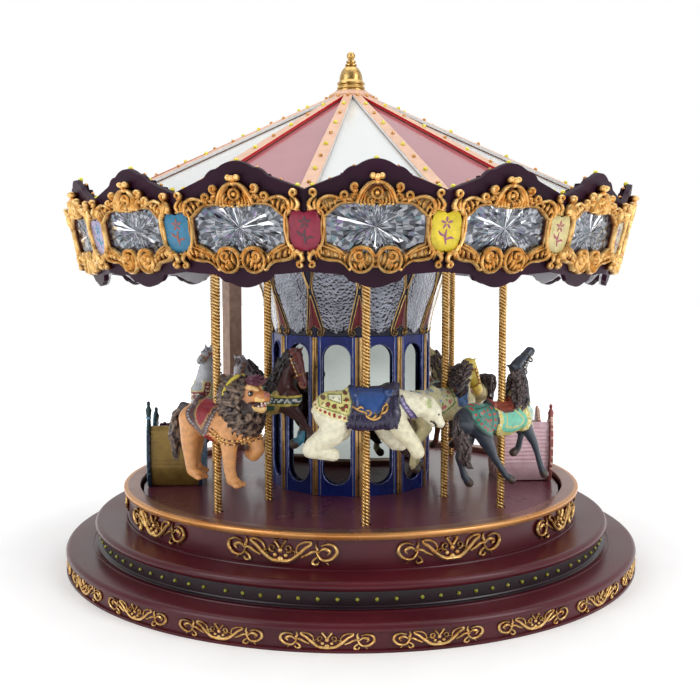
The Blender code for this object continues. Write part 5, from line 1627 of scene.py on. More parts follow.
# %% Horse tack
def blanket(fill, trim, dot, inner="", top=62.0):
    """Cloth under the saddle, with a border and a row of dots."""
    outline = smooth_path([(-12, top), (-10.5, 52), (-11, 43.5), (-7, 39.4), (0, 37.8), (8, 38.6), (14.5, 42),
                           (16.6, 48), (14, 54), (8.5, 60), (8, top + 8.0)], 3)
    rings = [(0, trim), (3.4, fill)] + ([(6.2, inner), (7, fill)] if inner else [])
    return (outline, ("trunk", "neck", "fore", "hind"), 0.7, rings, [(1.7, 3.4, 0.75, dot)])


def rump_cloth(fill, trim, dot):
    outline = smooth_path([(-31.5, 62), (-30, 50), (-24, 43), (-15, 39), (-11, 42), (-10, 52), (-11, 64)], 3)
    return (outline, ("trunk", "hind"), 0.5, [(0, trim), (1.6, fill), (5.2, trim), (5.8, fill)],
            [(3.4, 3.6, 0.9, dot), (7.6, 3.6, 0.9, dot)])


def chest_band(fill, trim, dot):
    outline = [(13, 58), (15, 49.5), (19, 43.5), (30, 43), (30, 50), (22, 52), (18, 59)]
    return (outline, ("trunk", "neck", "fore"), 0.7, [(0, trim), (1.3, fill)], [(2.9, 3.2, 0.7, dot)])


def saddle_chains():
    """A padded seat with a raised back and a low front, one chain for each."""
    return {"saddle_back": [(-9.6, -3.6, 58, 2.4), (-11, 0, 59.6, 2.3), (-9.6, 3.6, 58, 2.4)],
            "saddle_seat": [(-8, 0, 54.6, 5.2), (3, 0, 54.8, 5.2)],
            "saddle_front": [(5.6, -3, 58.4, 2.2), (7, 0, 60.6, 2.2), (5.6, 3, 58.4, 2.2)]}


def hoof_paint(legs, colour):
    """A small square round each hoof, to paint it as horn."""
    patches = []
    for name, chain in legs.items():
        x, _, z, _ = chain[-1]
        patches.append(([(x - 1.6, z + 3.4), (x + 4.2, z + 1.4), (x + 4.2, z - 4.0), (x - 4.0, z - 4.0),
                         (x - 4.0, z)], (name,), 0.25,
                        [(0, colour)], []))
    return patches


def build_horse(name, neck, nose, legs, coat, cloths, hair, voxel, hang, tail, seed, studs, bulk=1.0):
    """One horse. hang is the fall of the mane, bulk makes the head fuller."""
    chains = horse_chains(neck, nose, legs)
    for part in ("head", "jaw", "muzzle"):
        chains[part] = [(x, y, z, radius * bulk) for x, y, z, radius in chains[part]]
    chains.update(saddle_chains())
    cast_animal(name, chains, coat, cloths + hoof_paint(legs, "4A3C34"), voxel)
    bm = bmesh.new()
    crest = [(8, 0, 57, 8)] + chains["neck"][1:]
    neck_locks(bm, crest, seed, 15, 8.5, hang)
    poll, tip = Vector((neck[2][0], 0, neck[2][1])), Vector((nose[0], 0, nose[1]))
    run = (tip - poll).normalized()
    for side in (-1.6, 0, 1.6):
        lock_into(bm, waved(poll + Vector((0, side, 0)) - run * 1.0 + Vector((run.z, 0, -run.x)) * -3.6,
                            run, (0, 1, 0), 7.0, 0.7, 0.6), (1.2, 0.9, 0.2))
    tail_locks(bm, tail, seed + 1, 15, 4.6)
    finish_in_place(bm, name + "_hair", name, [hair])
    bm = bmesh.new()
    cheek = poll + run * (tip - poll).length * 0.28
    over = Vector((-run.z, 0, run.x))
    for side in (-1, 1):
        drops_into(bm, [cheek + over * 1.2 + Vector((0, side * 3.5 * bulk, 0))], 0.95, 0)
        # A small white drop on each eye is a painted glint.
        drops_into(bm, [cheek + over * 1.5 + run * 0.3 + Vector((0, side * 4.2 * bulk, 0.3))], 0.35, 1, 1)
        drops_into(bm, [tip - run * 0.6 + Vector((0, side * 1.9, 0)) + over * 0.7], 0.6, 0)
    finish_in_place(bm, name + "_eyes", name, [EYE_BLACK, GLINT_AND_TEETH_WHITE], 180.0)
    # bridle straps and studs on both sides of the head
    bm = bmesh.new()
    length = (tip - poll).length
    for at, reach in ((0.10, 4.6 * bulk), (0.66, 3.4 * bulk)):
        ring = []
        for step in range(19):
            angle = 2 * math.pi * step / 18
            ring.append(poll + run * length * at + (over * math.cos(angle) - over * 0.25) * reach
                        + Vector((0, math.sin(angle) * reach * 0.95, 0)))
        lock_into(bm, ring, (0.55, 0.55, 0.55), 4)
    for side in (-1, 1):
        lock_into(bm, [poll + run * length * (0.10 + 0.56 * i / 5)
                       + Vector((0, side * bulk * (4.5 - 1.0 * i / 5), 0)) for i in range(6)],
                  (0.5, 0.5, 0.5), 4)
    finish_in_place(bm, name + "_bridle", name, [studs[0]])
    bm = bmesh.new()
    for side in (-1, 1):
        drops_into(bm, [poll + run * length * (0.10 + 0.56 * i / 4)
                        + Vector((0, side * bulk * (4.9 - 1.0 * i / 4), 0)) for i in range(5)], 0.6, 0, 1)
    finish_in_place(bm, name + "_bridle_beads", name, [studs[1]], 180.0)


HORSE_TAIL = [(-32, 54), (-36, 50), (-36.5, 41), (-33.5, 31), (-34.5, 23), (-29.5, 17)]
NEAR_TAIL = [(-31, 55), (-33, 50), (-32.5, 41), (-29.5, 32), (-29.5, 25), (-24.5, 19)]
RAISED_TAIL = [(-28, 57), (-31.5, 61), (-35.5, 62), (-38, 54), (-38, 40)]
SMOKED_STRAP = coating("bridle_smoked_leather", ("3A3A40", "6A6460"), 2.0, (0.28, 0.4), 0.05, 0.5, Metallic=0.4)
GILT_STRAP = coating("bridle_gilt_paint", ("B08040", "D8AE68"), 2.0, (0.28, 0.4), 0.05, 0.5, Metallic=0.7)

# %% Black horse with a teal blanket
build_horse("black_horse", [(14, 60), (15, 70), (12.6, 80)], (24, 91.5), LEAP,
            {"": "343C48", "saddle": "96463A", "saddle_back": "2C3A38", "fore_near": "38424E", "muzzle": "2A2E36"},
            [rump_cloth("3E8A78", "2E4A44", "B8443E"), blanket("74C6AA", "DCCB6E", "F4EFD2", "DCCB6E"),
             chest_band("A8D2D0", "D2D29A", "E6D9A0"),
             ([(-13, 66), (-11.5, 57), (-6, 53.4), (2, 53.4), (7, 57), (8.6, 66)], ("saddle", "trunk"), 0.3,
              [(0, "5E241C"), (0.9, "8E3E2C")], [])],
            BLACK_HAIR, 0.68, (-0.25, -0.9), NEAR_TAIL, 11, (SMOKED_STRAP, PEARL_STUD), 1.25)

# %% Brown horse behind the lion
build_horse("brown_horse", [(12, 58), (15, 69), (21, 78)], (28.5, 58.5), REACH,
            {"": "4A221E", "head": "662A26", "jaw": "662A26", "saddle": "7A2A26", "muzzle": "A8725A",
             "fore": "3E1C1A"},
            [blanket("3E6E5A", "B8A050", "D8C890"),
             ([(3, 53), (3, 46), (20, 45), (31, 47), (31, 53), (20, 51.6)], ("trunk", "neck", "fore"), 0.9,
              [(0, "CDB94E"), (1.3, "2A4230"), (2.6, "3A5A78")], [(2.6, 3, 0.8, "DADCD4")]),
             ([(10, 28), (10, 10), (30, 10), (30, 28)], ("fore_far",), 0.7, [(0, "2E6E86"), (1, "3A86A0")],
              [(1.6, 2.2, 0.6, "1E4A60")])],
            SOOT_HAIR, 0.68, (-0.6, -0.8), HORSE_TAIL, 23, (GILT_STRAP, PEARL_STUD), 1.15)

# %% Cream horse with a flowered cloth
build_horse("cream_horse", [(12, 60), (15.5, 67.5), (20.5, 74)], (30, 56), REACH,
            {"": "D6CA96", "head": "F0D45C", "jaw": "E8C850", "muzzle": "E6C066", "saddle": "B8705E",
             "fore": "DCCE92"},
            [([(-34, 66), (-33, 52), (-24, 45), (-8, 44), (2, 50), (4, 60), (2, 70)], ("trunk", "hind", "saddle"),
              0.7,
              [(0, "D9D49A"), (1.4, "6E8A3C"), (2.4, "DDD6A8")],
              [(4.6, 5.2, 1.2, "C86A62"), (6.9, 4.6, 0.8, "7E9A4A"), (9, 5.8, 1.1, "8FA6C8")]),
             ([(3, 64), (3, 49), (12, 47), (13, 62)], ("trunk", "neck", "fore"), 0.9,
              [(0, "3E5E9C"), (2.2, "5B7DC0")], [(3, 4, 0.8, "2F7A54")])],
            DARK_HAIR, 0.68, (-0.95, -0.35), HORSE_TAIL, 37, (GILT_STRAP, RUBY_STUD), 1.35)

# %% Horses at the back
BACK_HORSES = {
    "pink_horse": ([(12, 60), (16, 69), (21, 77)], (32, 61), REACH, "D9CC96", "C8808A", "8FA05A", BLACK_HAIR),
    "chestnut_horse": ([(12, 59), (15, 69), (19, 79)], (31, 66), LEAP, "8A4A2C", "3E5C86", "D8C070", DARK_HAIR),
    "grey_horse": ([(10.5, 60), (9, 70), (7, 80)], (19, 74), LEAP, "C4C6CA", "8A2F3C", "D8C88C", GREY_HAIR),
    "bay_horse": ([(12, 60), (16, 69), (21, 77)], (32.5, 63), REACH, "6E3A22", "4E8A7C", "E0C884", DARK_HAIR),
    "white_horse": ([(14, 62), (22, 71), (29, 79)], (36, 60), LEAP, "BEB9BE", "5E4A86", "D2B25C", BLACK_HAIR),
}
for number, (name, (neck, nose, legs, body, cloth, trim, hair)) in enumerate(BACK_HORSES.items()):
    build_horse(name, neck, nose, legs, {"": body, "saddle": "7E3A2E"},
                [rump_cloth(cloth, trim, "E8E0C0"), blanket(cloth, trim, "F0EBCB"),
                 chest_band(cloth, trim, "E8E0C0")],
                hair, 1.0, (-0.6, -0.75), RAISED_TAIL if name == "pink_horse" else HORSE_TAIL, 50 + number,
                (GILT_STRAP, RUBY_STUD))

# %% [markdown]
# ## The lion
# The lion is a heavy cat: deep chest, thick paws and a mane that is wider than its trunk. Its mane is a clay
# body that is covered with locks, all combed away from the face. The open mouth is a dark red hollow between
# two separate jaws, with teeth as small pearls.

# %% Lion
lion_chains = {
    "trunk": [(-15, 0, 50.4, 9.4), (-6, 0, 47.4, 10.8), (5, 0, 45.8, 11.6), (15, 0, 46.4, 11.4)],
    "chest": [(14, 0, 45.6, 10.4), (21, 0, 45.4, 9.6)],
    "mane": [(16.6, 0, 66, 10.6), (20.8, 0, 57, 10.8), (24, 0, 51, 9)],
    "head": [(22.8, 0, 65.6, 8.6), (27.8, 0, 65, 7.2)],
    "brow_l": [(28.4, 3.2, 71.2, 2.5), (31.6, 2.2, 69.6, 1.8)],
    "snout": [(30.5, 0, 64.8, 5.2), (35.2, 0, 64.6, 4.6)],
    "lip_l": [(33.6, 2.4, 64.2, 2.8), (36.4, 1.9, 64.2, 2.5)],
    "chin": [(27.4, 0, 60.2, 5.2), (34.4, 0, 58.6, 3.2)],
    "ear_l": [(19, 7, 71, 2.2), (18.6, 7.6, 72, 1.7)],
    "fore_near": [(13.6, -5.4, 44, 7), (14, -6.2, 31, 4.7), (14.6, -6.4, 20, 3.6), (16.2, -6.4, 13.8, 3.6),
                  (19.6, -6.4, 12.2, 3.2)],
    "fore_far": [(20, 5.4, 42, 6.8), (25, 6, 36, 5), (26.5, 6.2, 31.5, 4.2), (23.5, 6.2, 27.8, 3.9),
                 (20, 6.2, 28.6, 3.2)],
    "hind_near": [(-16, -4.8, 49, 8.6), (-17.2, -6, 36, 5.9), (-16.4, -6.4, 24, 4.1), (-15.2, -6.4, 16.4, 3.6),
                  (-10.6, -6.4, 14.2, 3.4)],
    "hind_far": [(-17, 4.8, 48, 8), (-22, 6, 35, 5.2), (-23.4, 6.4, 24, 3.8), (-23.4, 6.4, 16.6, 3.4),
                 (-20.4, 6.4, 14.6, 3.2)],
    "saddle_back": [(-13, -3.6, 59, 2.2), (-14.4, 0, 61, 2.2), (-13, 3.6, 59, 2.2)],
    "saddle_seat": [(-10, 0, 56, 4.6), (-2, 0, 54.6, 4.6)],
    "tail": [(-20, 0, 55, 2.2), (-28, 0, 56, 2.4), (-33, 0, 48, 2.8), (-34.4, 0, 34, 3), (-34.2, 0, 26, 1.6)],
}
for foot, (x, z, side) in {"fore_near": (22, 11.4, -1), "hind_near": (-7.6, 13.4, -1),
                           "hind_far": (-17.6, 13.8, 1)}.items():
    for toe in (-2.9, 0, 2.9):
        lion_chains[foot + "_toe" + str(toe)] = [(x - 1.0, side * 6.4 + toe, z, 1.9),
                                                 (x + 0.6, side * 6.4 + toe * 1.1, z - 0.2, 1.75)]
lion_chains = both_sides(lion_chains)
oval = smooth_path([(-8.6, 62.5), (-10, 57), (-8.4, 51), (-5, 46.6), (-2.6, 46), (0.6, 49.4), (2.6, 55), (2.8, 61),
                    (-1, 64)], 3)
lion_cloths = [
    (smooth_path([(-15.4, 67), (-15.8, 56), (-12.4, 47), (-6, 40), (-3, 39), (1.6, 42.6), (5.6, 52), (6.4, 66)], 3),
     ("trunk", "saddle", "hind_near", "hind_far"), 0.6,
     [(0, "8E5438"), (0.8, "5A4E50"), (4.4, "B08A5C")], [(1.6, 1.9, 0.55, "A8A4A2"), (3.1, 2.3, 0.6, "7C3A36")]),
    (oval, ("trunk", "saddle", "hind_near", "hind_far"), 0.9, [(0, "B8905E"), (0.8, "96222E")],
     [(3.4, 2.9, 0.7, "741A26")]),
    ([(-3.4, 40.6), (-1.6, 32), (3.4, 32), (2.6, 41.6)], ("trunk",), 0.6, [(0, "98232C")],
     [(1.6, 2.4, 0.5, "6E1822")]),
    ([(27.4, 61.6), (31, 62.4), (42, 62.4), (42, 59.8), (33, 59.4), (28.6, 60.2)], ("snout", "lip", "chin", "head"),
     -1.2, [(0, "4A1216")], []),
    ([(37, 69.4), (41.6, 69.4), (41.6, 66), (38.4, 65.8)], ("snout", "lip"), 0.2, [(0, "B06E62")], []),
    ([(28.4, 55.6), (29.6, 59.4), (38.8, 59.4), (40.5, 51), (28, 51)], ("chin",), 0, [(0, "F0C684")], []),
]
lion_coat = {"": "DD9C5E", "mane": "3E312E", "tail": "3A2E34", "ear": "B98048", "chin": "DCA060", "lip": "F2C878",
             "head": "D08C54", "snout": "CC8448", "brow": "F4C684"}
lion_surface = cast_animal("lion", lion_chains, lion_coat, lion_cloths)

bm = bmesh.new()
dice = random.Random(5)
face = Vector((31.5, 0, 65))
middle = Vector((21.6, 0, 58.4))
# Roots that follow one another by the golden angle cover the mane evenly.
MANE_LOCKS, GOLDEN_ANGLE = 230, 2.39996
for number in range(MANE_LOCKS):
    rise = 1.0 - 2.0 * (number + 0.5) / MANE_LOCKS
    turn = number * GOLDEN_ANGLE
    ring = math.sqrt(1.0 - rise * rise)
    way = Vector((ring * math.cos(turn), ring * math.sin(turn), rise))
    root = middle + Vector((way.x * 10.6 - way.z * 3.8, way.y * 11.8, way.z * 16.8))
    if (root - face).length < 9.0 or (root.x > 26.0 and root.z > 56.5):
        continue
    flow = (root - face).normalized() + Vector((0, 0, -0.45))
    flow -= way * flow.dot(way) * 0.85
    across = way.cross(flow)
    lock_into(bm, waved(root, flow, across, 10.0 * dice.uniform(0.8, 1.2), 0.9, 2.2), (2, 1.8, 0.4), 6)
for number in range(30):
    angle = math.radians(-150 + 300 * number / 29)
    root = Vector((23.6 + dice.uniform(-0.8, 0.8), 8.6 * math.sin(angle), 64.2 + 9.2 * math.cos(angle)))
    flow = Vector((-0.55, math.sin(angle) * 1.0, math.cos(angle) * 0.9))
    lock_into(bm, waved(root, flow, (0.4, -math.cos(angle), math.sin(angle)), 5.6, 1.2, 1.2), (1.5, 1.3, 0.3))
tail_locks(bm, [(-29, 54), (-33, 48), (-34.6, 38), (-34.8, 30), (-34.2, 20)], 7, 16, 4.0)
finish_in_place(bm, "lion_mane_locks", "lion", [LION_HAIR])
MAROON_HAIR = hair_finish("lion_maroon_forelock", "42182A", "7A3A50")
bm = bmesh.new()
for number in range(20):
    root = Vector((25.6 + dice.uniform(-1.5, 2.0), dice.uniform(-4.0, 4.0), 73.8 + dice.uniform(-1.0, 1.6)))
    lock_into(bm, waved(root, (0.9, root.y * 0.08, 0.25 + dice.uniform(-0.3, 0.3)), (0, 1, 0.6), 7.6, 1.0, 1.2),
              (2, 1.9, 0.5))
finish_in_place(bm, "lion_forelock", "lion", [MAROON_HAIR])

bm = bmesh.new()
for side in (-1, 1):
    drops_into(bm, [(30.2, side * 5.2, 67.5)], 1.95, 0)
    # A small white drop on each eye is a painted glint.
    drops_into(bm, [(30.4, side * 6.9, 67.8)], 0.6, 1, 1)
    drops_into(bm, [(38.2, side * 1.6, 61.9), (36.4, side * 2.9, 61.9), (34.2, side * 3.0, 60),
                    (36, side * 1.8, 60.2)], 0.75, 1, 1)
drops_into(bm, [(39.2, 0, 67)], 1.4, 2)
drops_into(bm, [(33.4, 0, 60.6), (35.2, 0, 60.4)], 1.9, 3)
TONGUE = coating("tongue_pink_enamel", ("C0616A", "D27C82"), 1.0, (0.2, 0.3), 0.01, 0.4)
NOSE_BROWN = coating("lion_nose_brown_enamel", ("8A5048", "A86A5E"), 1.0, (0.2, 0.3), 0.01, 0.4)
finish_in_place(bm, "lion_eyes_and_teeth", "lion", [EYE_BLACK, GLINT_AND_TEETH_WHITE, NOSE_BROWN, TONGUE], 180.0)

bm = bmesh.new()
collar = ([(2.6, 43.4), (8, 39.4), (14, 36.8), (21, 36.2), (29, 38.6)],
          [(4.4, 45.4), (9.4, 41.4), (15, 38.9), (21, 38.3), (28.4, 40.4)])
for line in collar:
    cord_along(bm, lion_surface, line, (0.6, 0.7, 0.6), 0.0)
# The cords take the dark finish, as painted shade between the studs.
for face in bm.faces:
    face.material_index = 1
for line in collar:
    studs_along(bm, lion_surface, line, 2.3, 0.95, 0, 0.5)
CHAIN_GOLD = coating("lion_chain_bright_gold", ("E0AC5C", "F8D898"), 1.0, (0.2, 0.3), 0.02, 0.4, Metallic=0.6)
CHAIN_SHADOW = coating("lion_chain_cord_painted_shade", ("5E341C", "7A4A2A"), 1.0, (0.4, 0.5), 0.02, 0.4)
finish_in_place(bm, "lion_chain_collar", "lion", [CHAIN_GOLD, CHAIN_SHADOW], 180.0)
bm = bmesh.new()
for turn in (-1, 1):
    band = [(18.6 - 4.0 * share, turn * (2.0 + 11.2 * math.sin(1.3 * share)), 58.4 + 17.6 * math.cos(1.1 * share))
            for share in [step / 12 for step in range(13)]]
    lock_into(bm, band, (2.6, 1.2, 0.9))
YELLOW_RIBBON = coating("yellow_ribbon_paint", ("C8B23C", "E2CE5A"), 2.0, (0.35, 0.5), 0.05, 0.5)
finish_in_place(bm, "lion_ribbon", "lion", [YELLOW_RIBBON])

# %% [markdown]
# ## The polar bear
# The bear leaps with all legs stretched, and its head hangs low from a long neck. A navy saddle with a
# pleated skirt hides half of the trunk. The pleats are flat cords that lie side by side on the skirt, and the
# gold scroll on the flap is made of thinner cords that are pressed onto the skin in the same way.

# %% Bear
bear_chains = both_sides({
    "trunk": [(-20, 0, 33, 11.6), (-8, 0, 33.5, 11.6), (6, 0, 34, 11.2), (16, 0, 35, 10.6)],
    "neck": [(17, 0, 37, 9.6), (28, 0, 36.6, 7.6), (34, 0, 35.6, 6.6)],
    "head": [(36, 0, 35.4, 6.6), (39.5, 0, 32, 5.6)],
    "snout": [(40.2, 0, 30.6, 4.5), (44.2, 0, 25.4, 2.9)],
    "jaw": [(36.5, 0, 30, 3.6), (40.5, 0, 24.8, 1.9)],
    "ear_l": [(34, 5.2, 40.2, 2), (33.4, 6.2, 41.2, 1.4)],
    "fore_near": [(14, -6, 31, 7.6), (22, -7, 20.5, 5.6), (27.5, -7.2, 14, 4.6), (29.8, -7.2, 9.6, 4.2)],
    "fore_far": [(8, 6, 28, 7), (13, 7, 18, 5), (18, 7.2, 12.4, 4.2), (22, 7.2, 11.4, 3.6)],
    "hind_near": [(-19, -5.8, 29, 9.4), (-20.5, -6.8, 21, 7.6), (-31.5, -7.2, 14.2, 5), (-33, -7.2, 11.6, 4.8),
                  (-19.6, -7.2, 8.6, 3.8)],
    "hind_far": [(-17, 5.8, 29, 9.2), (-15, 6.8, 21, 7), (-24, 7.2, 13.5, 4.8), (-27, 7.2, 10.5, 4.4)],
    "tail": [(-29, 0, 35, 2.4), (-30.6, 0, 33.6, 2)],
    "saddle_seat": [(-8, 0, 41.6, 4.8), (8, 0, 42.2, 4.8)],
    "saddle_back": [(13.6, -6, 44.4, 2.6), (17.4, 0, 47.2, 2.3), (13.6, 6, 44.4, 2.6)],
    "saddle_front": [(-9, -6, 42, 2.4), (-11, 0, 44.2, 2.2), (-9, 6, 42, 2.4)],
    "skirt_near": [(-9, -9.6, 29, 3.6), (2, -9.8, 28, 3.8), (12, -9.2, 30, 3.6)],
    "skirt_far": [(-9, 9.6, 29, 3.6), (2, 9.8, 28, 3.8), (12, 9.2, 30, 3.6)],
})
bear_cloths = [
    (smooth_path([(-31, 52), (-31, 37), (-26, 33), (-18, 30.6), (-9, 28.4), (-6, 40), (-8, 52)], 3),
     ("trunk", "hind", "saddle", "tail"), 0.8,
     [(0, "E9DFA2"), (3.2, "7A8A3A"), (3.8, "E0D488"), (8.4, "7A8A3A"), (9, "F0EBD0")],
     [(1.7, 2.7, 0.85, "9C2C30"), (6.1, 4.2, 1.5, "5A5222"), (6.1, 4.2, 0.8, "9C2C30"), (12.2, 5.6, 2.2, "4E7E38"),
      (12.2, 5.6, 1.2, "9CBF6A")]),
    (smooth_path([(-12.4, 52), (-9.6, 43), (-10, 34), (-12.6, 26.6), (-4, 23), (8, 23.4), (14, 24.4), (18.4, 29),
                  (18.6, 40),
                  (19.6, 52)], 3), ("trunk", "saddle", "skirt", "fore", "neck", "hind"), 1.2,
     [(0, "1A1826"), (1.2, "2C2640"), (3.6, "211D32"), (4.6, "2F2946")], [(2.2, 1.9, 0.5, "4C4468")]),
    (smooth_path([(-10.6, 46), (-8.6, 39), (-5, 35.4), (-1.4, 34.2), (0.2, 31.2), (3.8, 30.4), (7, 33.6), (9.8, 37),
                  (12.4, 40.6), (15.4, 46)], 3),
     ("trunk", "saddle", "skirt"), 0.9, [(0, "1B2440"), (0.5, "1F3A70"), (2.4, "2A4E8A")], []),
    (smooth_path([(18.4, 41), (19.4, 37), (25, 30), (29, 24), (33.4, 25.4), (28, 32.6), (22.4, 39.4), (20.4, 44)], 2),
     ("trunk", "neck", "fore"), 0.7, [(0, "3C3358"), (0.9, "6E5E92")], [(1.9, 2.6, 0.7, "A79AC4")]),
    ([(38, 27.6), (40.4, 26.6), (42.4, 24), (41.4, 23), (39.4, 25.6), (37.6, 26.8)], ("jaw", "snout"), -0.5,
     [(0, "2A1E1C")], []),
    (smooth_path([(34.6, 41), (37.4, 41.2), (38.8, 38.4), (38.2, 35.6), (36, 34.8), (34.4, 37.6), (34.6, 41)], 2),
     ("head", "neck", "ear"), 0.3,
     [(0, "D2D2A8"), (0.8, "B4BC84")], []),
]
bear_surface = cast_animal("polar_bear", bear_chains, {"": "EAE4C8", "fore_near": "E6DEBE"}, bear_cloths)
bm = bmesh.new()
for side in (-1, 1):
    drops_into(bm, [(42.4, side * 3.9, 31.4)], 1.0, 0)
    # A small white drop on each eye is a painted glint.
    drops_into(bm, [(42.8, side * 4.7, 31.8)], 0.3, 1, 1)
drops_into(bm, [(46, 0, 24.4)], 1.5, 0)
finish_in_place(bm, "bear_eyes_and_nose", "polar_bear", [EYE_BLACK, GLINT_AND_TEETH_WHITE], 180.0)
bm = bmesh.new()
cord_along(bm, bear_surface, [(-9, 37.8), (-5, 35.2), (-1.6, 34.2), (-0.2, 31.6), (3.4, 30.2), (6.6, 31.4),
                              (8.2, 34.2), (9.2, 37.6), (11.4, 38.6)],
           (0.5, 0.8, 0.5))
for line in ([(-0.6, 31.8), (1.6, 33.2), (1, 35.2), (-1.2, 35.2)],
             [(7.6, 33.2), (10.4, 34.6), (11.6, 38), (9.8, 39.6)],
             [(2.6, 30.8), (4.4, 32.6), (3.6, 34.4)], [(-6.4, 36.2), (-4.2, 37.4), (-2.6, 36.4)]):
    cord_along(bm, bear_surface, line, (0.45, 0.75, 0.25))
finish_in_place(bm, "bear_saddle_scroll", "polar_bear", [GILT_STRAP])
bm = bmesh.new()
for number in range(11):
    foot = -11.4 + 2.8 * number
    top = 33.6 + (2.6 if number in (0, 1, 9, 10) else -3.6 if 3 <= number <= 6 else 0.0)
    cord_along(bm, bear_surface, [(foot * 0.86 + 0.8, top), (foot * 0.95 + 0.3, (top + 24.6) / 2), (foot, 24.6)],
               (0.25, 0.9, 1), -0.1, 6)
PLEAT_SATIN = coating("saddle_skirt_violet_satin", ("241F36", "3A3352"), 2.0, (0.26, 0.36), 0.04, 0.5)
finish_in_place(bm, "bear_skirt_pleats", "polar_bear", [PLEAT_SATIN])

# %% [markdown]
# ## The benches
# Two chariot benches stand at the sides. A bench is a moulded tub between two carved ends. The tub is its side
# view, extruded from end to end, and its long board has fine ridges. Each end is an outline with a carved cord
# and a row of knobs round its edge and a carved plant in its middle. Its two posts are stacks of small turned
# shapes with a leaf-like top, and a row of larger knobs joins the ends at the low side.

# %% Places on a bench
BENCH_R, BENCH_Z = 125, 48.8
BENCH_END = [(17.5, 0), (19.5, 6), (22.2, 18), (21.5, 38), (19.5, 45), (18, 49), (16, 45), (13, 40), (6, 33),
             (-4, 32), (-12, 41), (-15.5, 46), (-18, 49), (-20, 46), (-22, 38), (-22.2, 18), (-19.5, 6),
             (-17.5, 0)]


def on_bench(bearing, x, y, z):
    """A place in a bench's own frame: x along the ride, y towards the core, z above the deck, in mm."""
    return (outward(bearing) * (BENCH_R - y) + along(bearing) * x + Vector((0, 0, BENCH_Z + z))) * MM


def slab_into(bm, bearing, outline, low, high):
    """A slab between two depths of a bench, cut to an outline in side view."""
    front = bm.faces.new([bm.verts.new(on_bench(bearing, x, low, z)) for x, z in outline])
    made = bmesh.ops.extrude_face_region(bm, geom=[front])["geom"]
    bmesh.ops.translate(bm, vec=outward(bearing) * (low - high) * MM, verts=verts_of(made))


def knobs_on(bm, bearing, spots, radius, material_index):
    beads_into(bm, [on_bench(bearing, *spot) for spot in spots], radius, material_index)


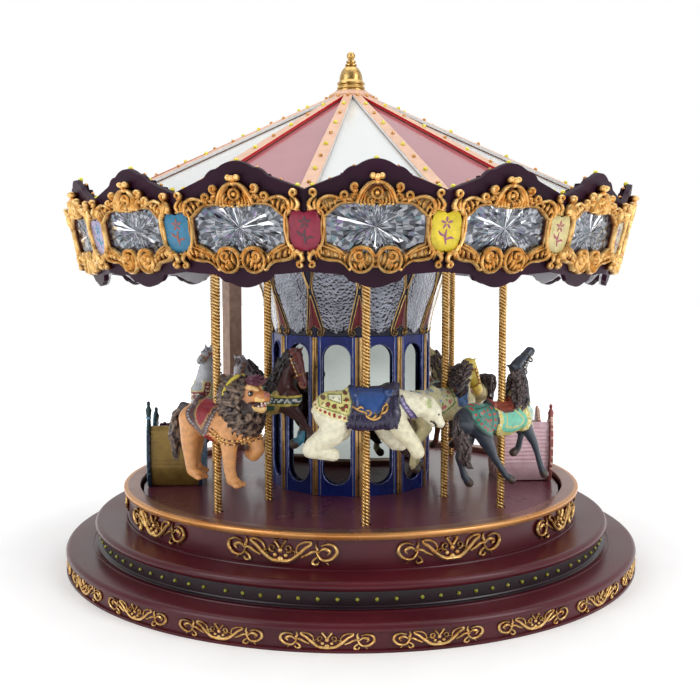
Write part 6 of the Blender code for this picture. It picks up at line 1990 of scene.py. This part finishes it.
# %% Bench parts
def bench(name, bearing, front, ridge_mm, rises, slot, board_finish, end_finishes):
    """One bench. front is 1 or -1 for the end of the ride its tall board looks to, rises lift its low and its tall
    posts. Its end finishes are for the plates, the cords and collars, the knobs, the posts and the rail."""
    board = [(-19, 37.2), (-19.5, 16), (-17.5, 4), (-15.5, 0.4), (15.5, 0.4), (17.5, 4), (19.5, 12)]
    for ridge in range(10):
        board += [(19.5, 13.2 + 2.8 * ridge), (19.5 + ridge_mm, 14.2 + 2.8 * ridge), (19.5, 15.2 + 2.8 * ridge)]
    board += [(19, 43), (16.8, 43), (16.8, 21), (3, 20), (3, 6), (-10, 6), (-16.8, 15), (-16.8, 37.2)]
    board = [(x * front, z) for x, z in board]
    bm = bmesh.new()
    slab_into(bm, bearing, board, -16.2, 16.2)
    finish_piece(bm, name + "_tub", "turntable", slot, [board_finish], (name,), sharp=30.0)
    bm = bmesh.new()
    edge = smooth_path(BENCH_END, 3)
    slab_into(bm, bearing, edge, -18.7, -16.4)
    slab_into(bm, bearing, edge, 16.4, 18.7)
    bmesh.ops.recalc_face_normals(bm, faces=bm.faces)
    carving = bmesh.new()
    strand_into(carving, [(x * 0.93, 0.8 + z * 0.95) for x, z in edge], (0.9, 0.9, 0.9), 1.2)
    for side in (-1, 1):
        strands_into(carving, [
            (smooth_path([(side * 0.8, 3.4), (side * 1.8, 8), (side * 5.0, 11.6)], 4)
             + curl(side * 9.0, 17.4, 6.2, 1.2, -90.0, side * 1.3, 20), 0, (0.6, 1.1, 0.6), 1.4),
            ([(side * 2.4, 9), (side * 8.0, 7.6), (side * 13.6, 4)], 4, (0.4, 1.2, 0.2), 1.3),
        ])
    strand_into(carving, smooth_path([(0, 5), (0, 14), (0, 25)], 4), (0.5, 1.5, 0.2), 1.4)
    carved = design_mesh(carving, "bench_carving")
    for side in (-1, 1):
        laid = repeated(carved, [lambda x, y, z: on_bench(bearing, x, side * (18.4 + y * 0.8), z)])
        for face in laid.faces:
            face.material_index = 1
        bm.from_mesh(design_mesh(laid, "bench_carving"))
    for y in (-17.6, 17.6):
        knobs_on(bm, bearing, [(x, y, z) for x, z in edge[1:-1] if z > 9.0], 1.15, 2)
        for x, rise in zip((-18.6 * front, 18.6 * front), rises):
            for z, low, high, tall, part in ((47.5, 1.5, 2.3, 5, 3), (51.4, 2.3, 0.8, 4, 3), (44.4, 1.9, 1.9, 1.4, 1),
                                             (53.4, 1, 1.4, 1.4, 3),
                                             (42, 1.3, 1.3, 8, 0)):
                spot = on_bench(bearing, x, y, z + rise)
                made = bmesh.ops.create_cone(bm, cap_ends=True, segments=12, radius1=low * MM, radius2=high * MM,
                                             depth=tall * MM, matrix=Matrix.Translation(spot))
                mark_faces(made["verts"], part)
            knobs_on(bm, bearing, [(x, y, 54.8 + rise)], 1.3, 3)
    knobs_on(bm, bearing, [(-17.9 * front, y * 2.3, 38.2 + 0.8 * (y % 2)) for y in range(-6, 7)], 1.6, 4)
    finish_piece(bm, name + "_carved_ends", "turntable", slot, end_finishes, sharp=40.0)


# %% Bench finishes
# Gold-olive paint over plaster, brushed on and a little worn.
OLIVE_GILT = coating("bench_olive_gilt_paint", ("7E6430", "9A7E40"), 6.0, (0.34, 0.46), 0.05, 0.6, Metallic=0.4)
# Navy and teal satin paint of the left bench's ends, with grey-blue highlights brushed over the carving.
NAVY_SATIN = coating("bench_navy_satin_paint", ("141C30", "24324C"), 5.0, (0.34, 0.46), 0.05, 0.6)
BLUE_GREY = coating("bench_blue_grey_brushed_paint", ("3E7092", "76A4C0"), 3.0, (0.36, 0.48), 0.06, 0.5)
TEAL_SATIN = coating("bench_teal_satin_paint", ("142A2C", "2C4A4C"), 4.0, (0.34, 0.46), 0.05, 0.5)
MAROON_SATIN = coating("bench_maroon_satin_paint", ("4A182C", "6A2A40"), 3.0, (0.36, 0.48), 0.05, 0.5)
# Pale pink satin paint on the right bench's board, and its red-brown ends with a cream-pink edge.
PINK_SATIN = coating("bench_pink_satin_paint", ("D8AEB8", "E8C8D0"), 6.0, (0.36, 0.48), 0.04, 0.8)
RUSSET_SATIN = coating("bench_russet_satin_paint", ("8A4442", "A65E5A"), 5.0, (0.36, 0.48), 0.05, 0.6)
BLUSH_GILT = coating("bench_blush_gilt_paint", ("D8A898", "F0D4BC"), 3.0, (0.32, 0.44), 0.06, 0.5)
bench("left_bench", -86.0, 1, 0.2, (-4.6, 4.6), "bench_olive", OLIVE_GILT,
      [NAVY_SATIN, BLUE_GREY, TEAL_SATIN, TEAL_SATIN, MAROON_SATIN])
bench("right_bench", 94.0, -1, 0.5, (-14, 0), "bench_pink", PINK_SATIN,
      [RUSSET_SATIN, BLUSH_GILT, BLUSH_GILT, RUSSET_SATIN, BLUSH_GILT])
